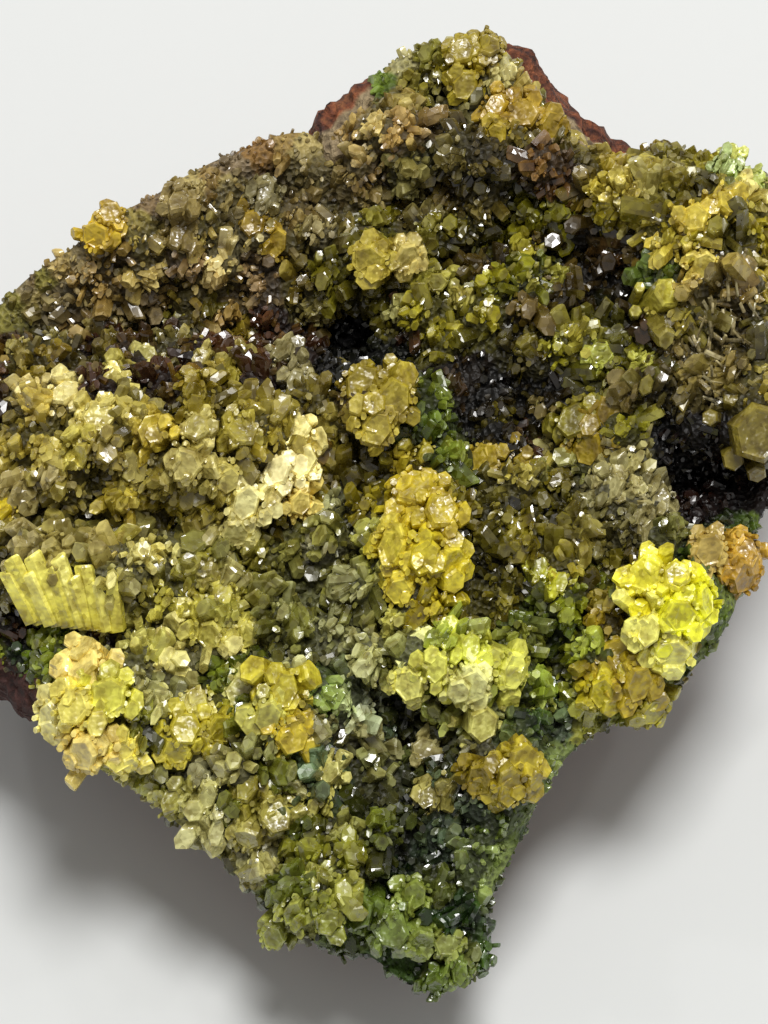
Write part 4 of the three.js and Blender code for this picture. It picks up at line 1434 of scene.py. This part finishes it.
def tuft_crystals(tufts, taken, seed):
    """A stout crystal in the middle of most tufts, with blocks and crumbs grown into it."""
    random = np.random.default_rng(seed)
    x, y = tufts.middles[:, 0], tufts.middles[:, 1]
    share = zone_values(tufts.weights, "bosses")
    kept = (share > BOSS_RARE * random.random(len(x))) & clear_of(tufts.middles, 0, taken)
    kept &= gloom(x, y) < BOSS_GLOOM
    kept &= (rim_share(x, y) < BOSS_RIM) & ~bare(tufts.middles)
    middles, normals, count = tufts.middles[kept], tufts.normals[kept], kept.sum()
    # Painted shade in the gaps between the large clumps, painted light on their tops
    tints = tufts.tints[kept] * lerp(*PAINTED_CLUMP_SHADE_AND_LIGHT, clump(middles))[:, None]
    radii = BOSS_RADIUS * zone_values(tufts.weights[kept], "radius")
    radii = radii * lerp(*BOSS_RANGE, random.random(count))
    radii *= lerp(BOSS_FEW, 1.0, np.minimum(share[kept], 1))
    directions = unit(normals + BOSS_LEAN * (random.random((count, 3)) - 0.5))
    main = Prisms(
        middles - BOSS_FOOT * normals,
        directions,
        radii,
        radii * lerp(*BOSS_RANGE, random.random(count)) + BOSS_FOOT,
        random.random(count) * math.pi,
        tints * BOSS_SHADE,
        CHAMFERED,
    )
    ring, thin, tall = (0.4, 1.0), (0.45, 0.75), (0.6, 1.05)
    blocks = sprouts(main, 5, seed + 1, ring, thin, tall, fan=0.25, wander=0.7)
    ring, thin = (0.6, 1.05), (0.16, 0.34)
    crumbs = sprouts(main, 7, seed + 2, ring, thin, tall, fan=0.3, wander=0.7, kind=PLAIN)
    return Prisms.joined([main, blocks, crumbs]).rooted()


def fibres(ground, seed):
    """Thin grey threads of crystal that run over the crust of one slope."""
    random = np.random.default_rng(seed)
    places, normals = ground.scatter(FIBRE_TRIES, seed)
    least = FIBRE_LEAST + FIBRE_SPREAD * random.random(len(places))
    kept = bell(*places[:, :2].T, *FIBRE_PATCH) > least
    places, normals, count = places[kept], normals[kept], kept.sum()
    lengths = lerp(*FIBRE_LENGTH, random.random(count))
    along = unit(np.array(FIBRE_RUN) + FIBRE_STRAY * (random.random((count, 3)) - 0.5))
    lift = lerp(*FIBRE_LIFT, random.random((count, 1)))
    tints = palette(FIBRE_TINTS)
    return Prisms(
        places + normals * lift - along * lengths[:, None] / 2,
        along,
        lerp(*FIBRE_RADIUS, random.random(count)),
        lengths,
        random.random(count) * math.pi,
        tints[random.integers(0, len(tints), count)],
        PLAIN,
    )


def rock_rings():
    """The rock's rings, from the middle of its top to that of its foot, and its top's points."""
    rim = rim_points(ROCK_AROUND)
    covered = cover(*rim.T)
    rings = [np.array([[0.0, 0.0, -float(ROCK_DEPTH)]])]
    for share in ROCK_TOP_RINGS:
        reach = share * lerp(1, ROCK_INSET, covered)
        x, y = (rim * reach[:, None]).T
        edge = face_out(x, y) - rim_drop(share) - CRUST * covered
        rise = smoothstep(share, BARE_START, BARE_END)
        rings.append(np.column_stack([x, y, lerp(FACE_FALL * y - ROCK_DEPTH, edge, rise)]))
    top, shown = rings[-1], sum(len(ring) for ring in rings)
    world = placed(top) / MM
    knee = top - np.column_stack([np.zeros((ROCK_AROUND, 2)), SIDE_DROP * world[:, 2]])
    foot = world * np.array([BASE_SHARE, BASE_SHARE, 0])
    under = face_points(foot)
    for share in ROCK_SIDE_RINGS:
        side = (1 - share) ** 2 * top + 2 * share * (1 - share) * knee + share**2 * under
        rings.append(side)
    for share in ROCK_FOOT_RINGS:
        inner = placed(under) / MM * np.array([share, share, 0])
        rings.append(face_points(inner))
    rings.append(face_points(np.zeros((1, 3))))
    return rings, shown


def weathering(places, chips):
    """How far the rock's surface moves out at places in millimetres, with chips this deep."""
    ridged = 1 - np.abs(2 * noise(places, size=3.4, seed=5) - 1)
    out = -chips * smoothstep(noise(places, size=5.5, seed=3), 0.35, 0.85)
    out = out + 1.1 * layered(places, size=2.2, seed=9) + 0.35 * (ridged - 0.5)
    out = out + 0.4 * layered(places, size=0.55, seed=15)
    return out * smoothstep(places[:, 2], 0.0, CHIPS_FROM)


class SPECIMEN_OT_rock(bpy.types.Operator):
    """Builds the weathered rock with its chipped sides and flat resting patch."""

    bl_idname = "specimen.rock"
    bl_label = "Rock"

    def execute(self, context):
        sizes, look = context.scene.specimen_sizes, context.scene.specimen_look
        rings, shown = rock_rings()
        places, triangles = skin(rings)
        world = placed(places)
        mesh = triangle_mesh("rock_body", world, triangles)
        out = weathering(world / MM, sizes.rock_chips / MM)
        moved = world + normals_of(mesh) * (out * MM)[:, None]
        moved[:, 2] = np.maximum(moved[:, 2], 0)
        mesh.vertices.foreach_set("co", moved.astype(np.float32).ravel())
        mesh.update()
        x, y = places[:, :2].T
        pale = (1 - smoothstep(rim_share(x, y), *SKIN_FADE)) * (y > SKIN_ABOVE)
        pale[shown:] = 0
        maroon = np.minimum(MAROON_STRENGTH * bell(x, y, *MAROON_ROCK), 1)
        set_tint(mesh, np.column_stack([pale, maroon, np.zeros(len(x))]))
        piece_from(mesh, rock_material(look), ["rock_matrix"], smooth=True)
        return {"FINISHED"}


class SPECIMEN_OT_crust(bpy.types.Operator):
    """Builds the crust: its ground, the fine and stout crystals, and its own crystal groups."""

    bl_idname = "specimen.crust"
    bl_label = "Crust"

    def execute(self, context):
        sizes, look = context.scene.specimen_sizes, context.scene.specimen_look
        ground = Ground()
        tufts = Tufts(ground, sizes.tuft_spacing / MM, seed=41)
        ground.raise_tufts(tufts, sizes.tuft_height / MM)
        self.build_ground(ground, tufts)
        clear = look.druse_clearness
        glassy = crystal_material("druse", look, 2600, clear, sugar=0.8, dull=0.11, wavy=False)
        taken = Prisms.joined([*map(main_crystals, range(len(GROUPS))), comb(seed=1)])
        among = (ground, tufts, taken)
        fine = crust_crystals(*among, sizes.fine_crystals, (0.7, 1.4), seed=51, kind=PLAIN)
        stout = crust_crystals(*among, sizes.stout_crystals, (1.5, 2.8), seed=61, kind=CHAMFERED)
        self.split(fine, "fine_druse", 2, glassy)
        self.split(stout, "stout_druse", 1, glassy)
        self.split(tuft_crystals(tufts, taken, seed=71), "tufts", 2, glassy)
        cloudy = crystal_material("crust lumps", look, 3200, clearness=0, sugar=0.7, dull=0.18)
        self.split(self.lumps(sizes.tooth), "crust_lumps", 1, cloudy)
        self.split(fibres(ground, seed=91), "fibres", 1, cloudy)
        return {"FINISHED"}

    @staticmethod
    def lumps(finest):
        """The crust's own groups, darkened with painted shade where they stand in a deep hollow.
        """
        own = [i for i, group in enumerate(GROUPS) if group.finish is None]
        grown = [
            intergrown(main_crystals(i), 700 + i, finest, loose=1.4, teeth=9, crumbs=8)
            for i in own
        ]
        lumps = Prisms.joined(grown).rooted()
        lumps.tints = lumps.tints * lerp(1, PAINTED_GLOOM_SHADE, gloom(*lumps.feet[:, :2].T))[:, None]
        return lumps

    @staticmethod
    def build_ground(ground, tufts):
        """The crust's surface, stained by the tufts that stand on it and darkened with painted
        shade, least at the rim.
        """
        mesh = triangle_mesh("crust_ground", placed(ground.places), ground.triangles)
        found, _ = nearest(ground.places, tufts.middles)
        out = rim_share(*ground.places[:, :2].T)
        painted_shade = lerp(*PAINTED_GROUND_SHADE, smoothstep(out, *GROUND_EDGE))
        set_tint(mesh, painted_shade[:, None] * tufts.tints[found])
        piece_from(mesh, ground_material(), ["crystal_crust"], smooth=True)

    @staticmethod
    def split(prisms, name, count, material):
        """Makes the crystals as a few pieces, side by side across the face."""
        order = np.argsort(prisms.feet[:, 0], kind="stable")
        for i, chosen in enumerate(np.array_split(order, count)):
            title = f"{name}_{i + 1}" if count > 1 else name
            mesh = prisms.take(chosen).mesh(title, uneven=0.26, slanted=0.8, seed=80 + i)
            piece_from(mesh, material)


class SPECIMEN_OT_groups(bpy.types.Operator):
    """Builds the later crystal groups, each a few large crystals with smaller ones in them."""

    bl_idname = "specimen.groups"
    bl_label = "Crystal groups"

    def execute(self, context):
        sizes, look = context.scene.specimen_sizes, context.scene.specimen_look
        materials = {
            finish: crystal_material(
                f"{finish} crystal", look, 3400, clearness=0, sugar=0.5, dull=0.22
            )
            for finish in sorted({group.finish for group in GROUPS if group.finish})
        }
        for i, group in enumerate(GROUPS):
            if group.finish is None:
                continue
            crystals = self.grown(i, sizes.tooth).rooted()
            uneven = LONE_UNEVEN if group.count == 1 else GROUP_UNEVEN
            title = f"{group.name}_grown"
            mesh = crystals.mesh(title, uneven, GROUP_SLANT * uneven, seed=900 + i)
            piece_from(mesh, materials[group.finish], [group.name])
        return {"FINISHED"}

    @staticmethod
    def grown(index, finest):
        """All crystals of a group, which differ for a single crystal and for the comb."""
        main = main_crystals(index)
        if len(main) == 1:
            thin, tall = (0.25, 0.45), (0.3, 0.75)
            low = sprouts(main, 7, 400 + index, (0.9, 1.2), thin, tall, fan=0.35, wander=0.5)
            return Prisms.joined([main, low])
        if GROUPS[index] is COMB:
            main.heights = main.heights * COMB_MAIN
            return Prisms.joined([comb(300 + index), main])
        return intergrown(main, 300 + index, finest)


class SPECIMEN_OT_stage(bpy.types.Operator):
    """Builds the floor, the soft light and the camera."""

    bl_idname = "specimen.stage"
    bl_label = "Stage"

    def execute(self, context):
        scene = context.scene
        sizes, look = scene.specimen_sizes, scene.specimen_look
        self.add_paper(scene, look)
        self.add_light("window", WINDOW, WINDOW_SIZE, look.light_strength)
        for i, place in enumerate(LAMPS):
            self.add_light(f"lamp_{i + 1}", place, LAMP_SIZE, look.light_strength * LAMP_SHARE)
        world = bpy.data.worlds.new("room")
        world.use_nodes = True
        room = world.node_tree.nodes["Background"].inputs
        room["Color"].default_value = ROOM_COLOUR
        room["Strength"].default_value = ROOM_STRENGTH
        scene.world = world
        self.add_camera(scene, sizes)
        scene.view_settings.view_transform = "Standard"
        return {"FINISHED"}

    @staticmethod
    def add_paper(scene, look):
        """The floor, a hair below the resting patch."""
        corners = [(-1, -1, 0), (1, -1, 0), (1, 1, 0), (-1, 1, 0)]
        places = np.array(corners) * PAPER_HALF - [0, 0, PAPER_SUNK]
        mesh = mesh_from("paper", places, [0, 1, 2, 3], [4])
        mesh.materials.append(floor_material(look))
        paper = bpy.data.objects.new("paper", mesh)
        scene.collection.objects.link(paper)

    @staticmethod
    def add_camera(scene, sizes):
        """A camera that looks straight at the crystal face."""
        out = Vector(turned(np.array([[0.0, 0.0, 1.0]]))[0])
        up = Vector(turned(np.array([[0.0, 1.0, 0.0]]))[0])
        camera = bpy.data.objects.new("camera", bpy.data.cameras.new("camera"))
        scene.collection.objects.link(camera)
        axes = Matrix((Vector((1, 0, 0)), up, out)).transposed()
        camera.matrix_world = axes.to_4x4()
        aim = Vector((0, 0, FACE_LIFT * MM)) + up * sizes.aim_up
        camera.location = aim + out * sizes.camera_distance
        camera.data.lens = SENSOR * sizes.camera_distance / (VIEW_HEIGHT * MM)
        camera.data.clip_start = CLIP_START
        scene.camera = camera

    @staticmethod
    def add_light(name, place, size, power):
        """A square soft light that faces the specimen."""
        data = bpy.data.lights.new(name, "AREA")
        data.size = size
        data.energy = power
        data.color = LIGHT_COLOUR
        light = bpy.data.objects.new(name, data)
        light.location = place
        light.rotation_euler = Vector(place).to_track_quat("Z", "Y").to_euler()
        bpy.context.scene.collection.objects.link(light)


OPERATORS = [SPECIMEN_OT_rock, SPECIMEN_OT_crust, SPECIMEN_OT_groups, SPECIMEN_OT_stage]


class SPECIMEN_PT_panel(bpy.types.Panel):
    """Lists the steps that build the specimen, and its sizes and colours."""

    bl_label = "Specimen"
    bl_idname = "SPECIMEN_PT_panel"
    bl_space_type = "VIEW_3D"
    bl_region_type = "UI"
    bl_category = "Specimen"

    def draw(self, context):
        for group in (context.scene.specimen_sizes, context.scene.specimen_look):
            for name in group.__annotations__:
                self.layout.prop(group, name)
        for operator in OPERATORS:
            self.layout.operator(operator.bl_idname)


CLASSES = [SpecimenSizes, SpecimenLook, *OPERATORS, SPECIMEN_PT_panel]


def register():
    for cls in CLASSES:
        bpy.utils.register_class(cls)
    bpy.types.Scene.specimen_sizes = PointerProperty(type=SpecimenSizes)
    bpy.types.Scene.specimen_look = PointerProperty(type=SpecimenLook)


def unregister():
    del bpy.types.Scene.specimen_look
    del bpy.types.Scene.specimen_sizes
    for cls in reversed(CLASSES):
        bpy.utils.unregister_class(cls)


def main():
    register()
    bpy.ops.specimen.stage()
    bpy.ops.specimen.rock()
    bpy.ops.specimen.crust()
    bpy.ops.specimen.groups()
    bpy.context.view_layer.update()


if __name__ == "__main__":
    main()
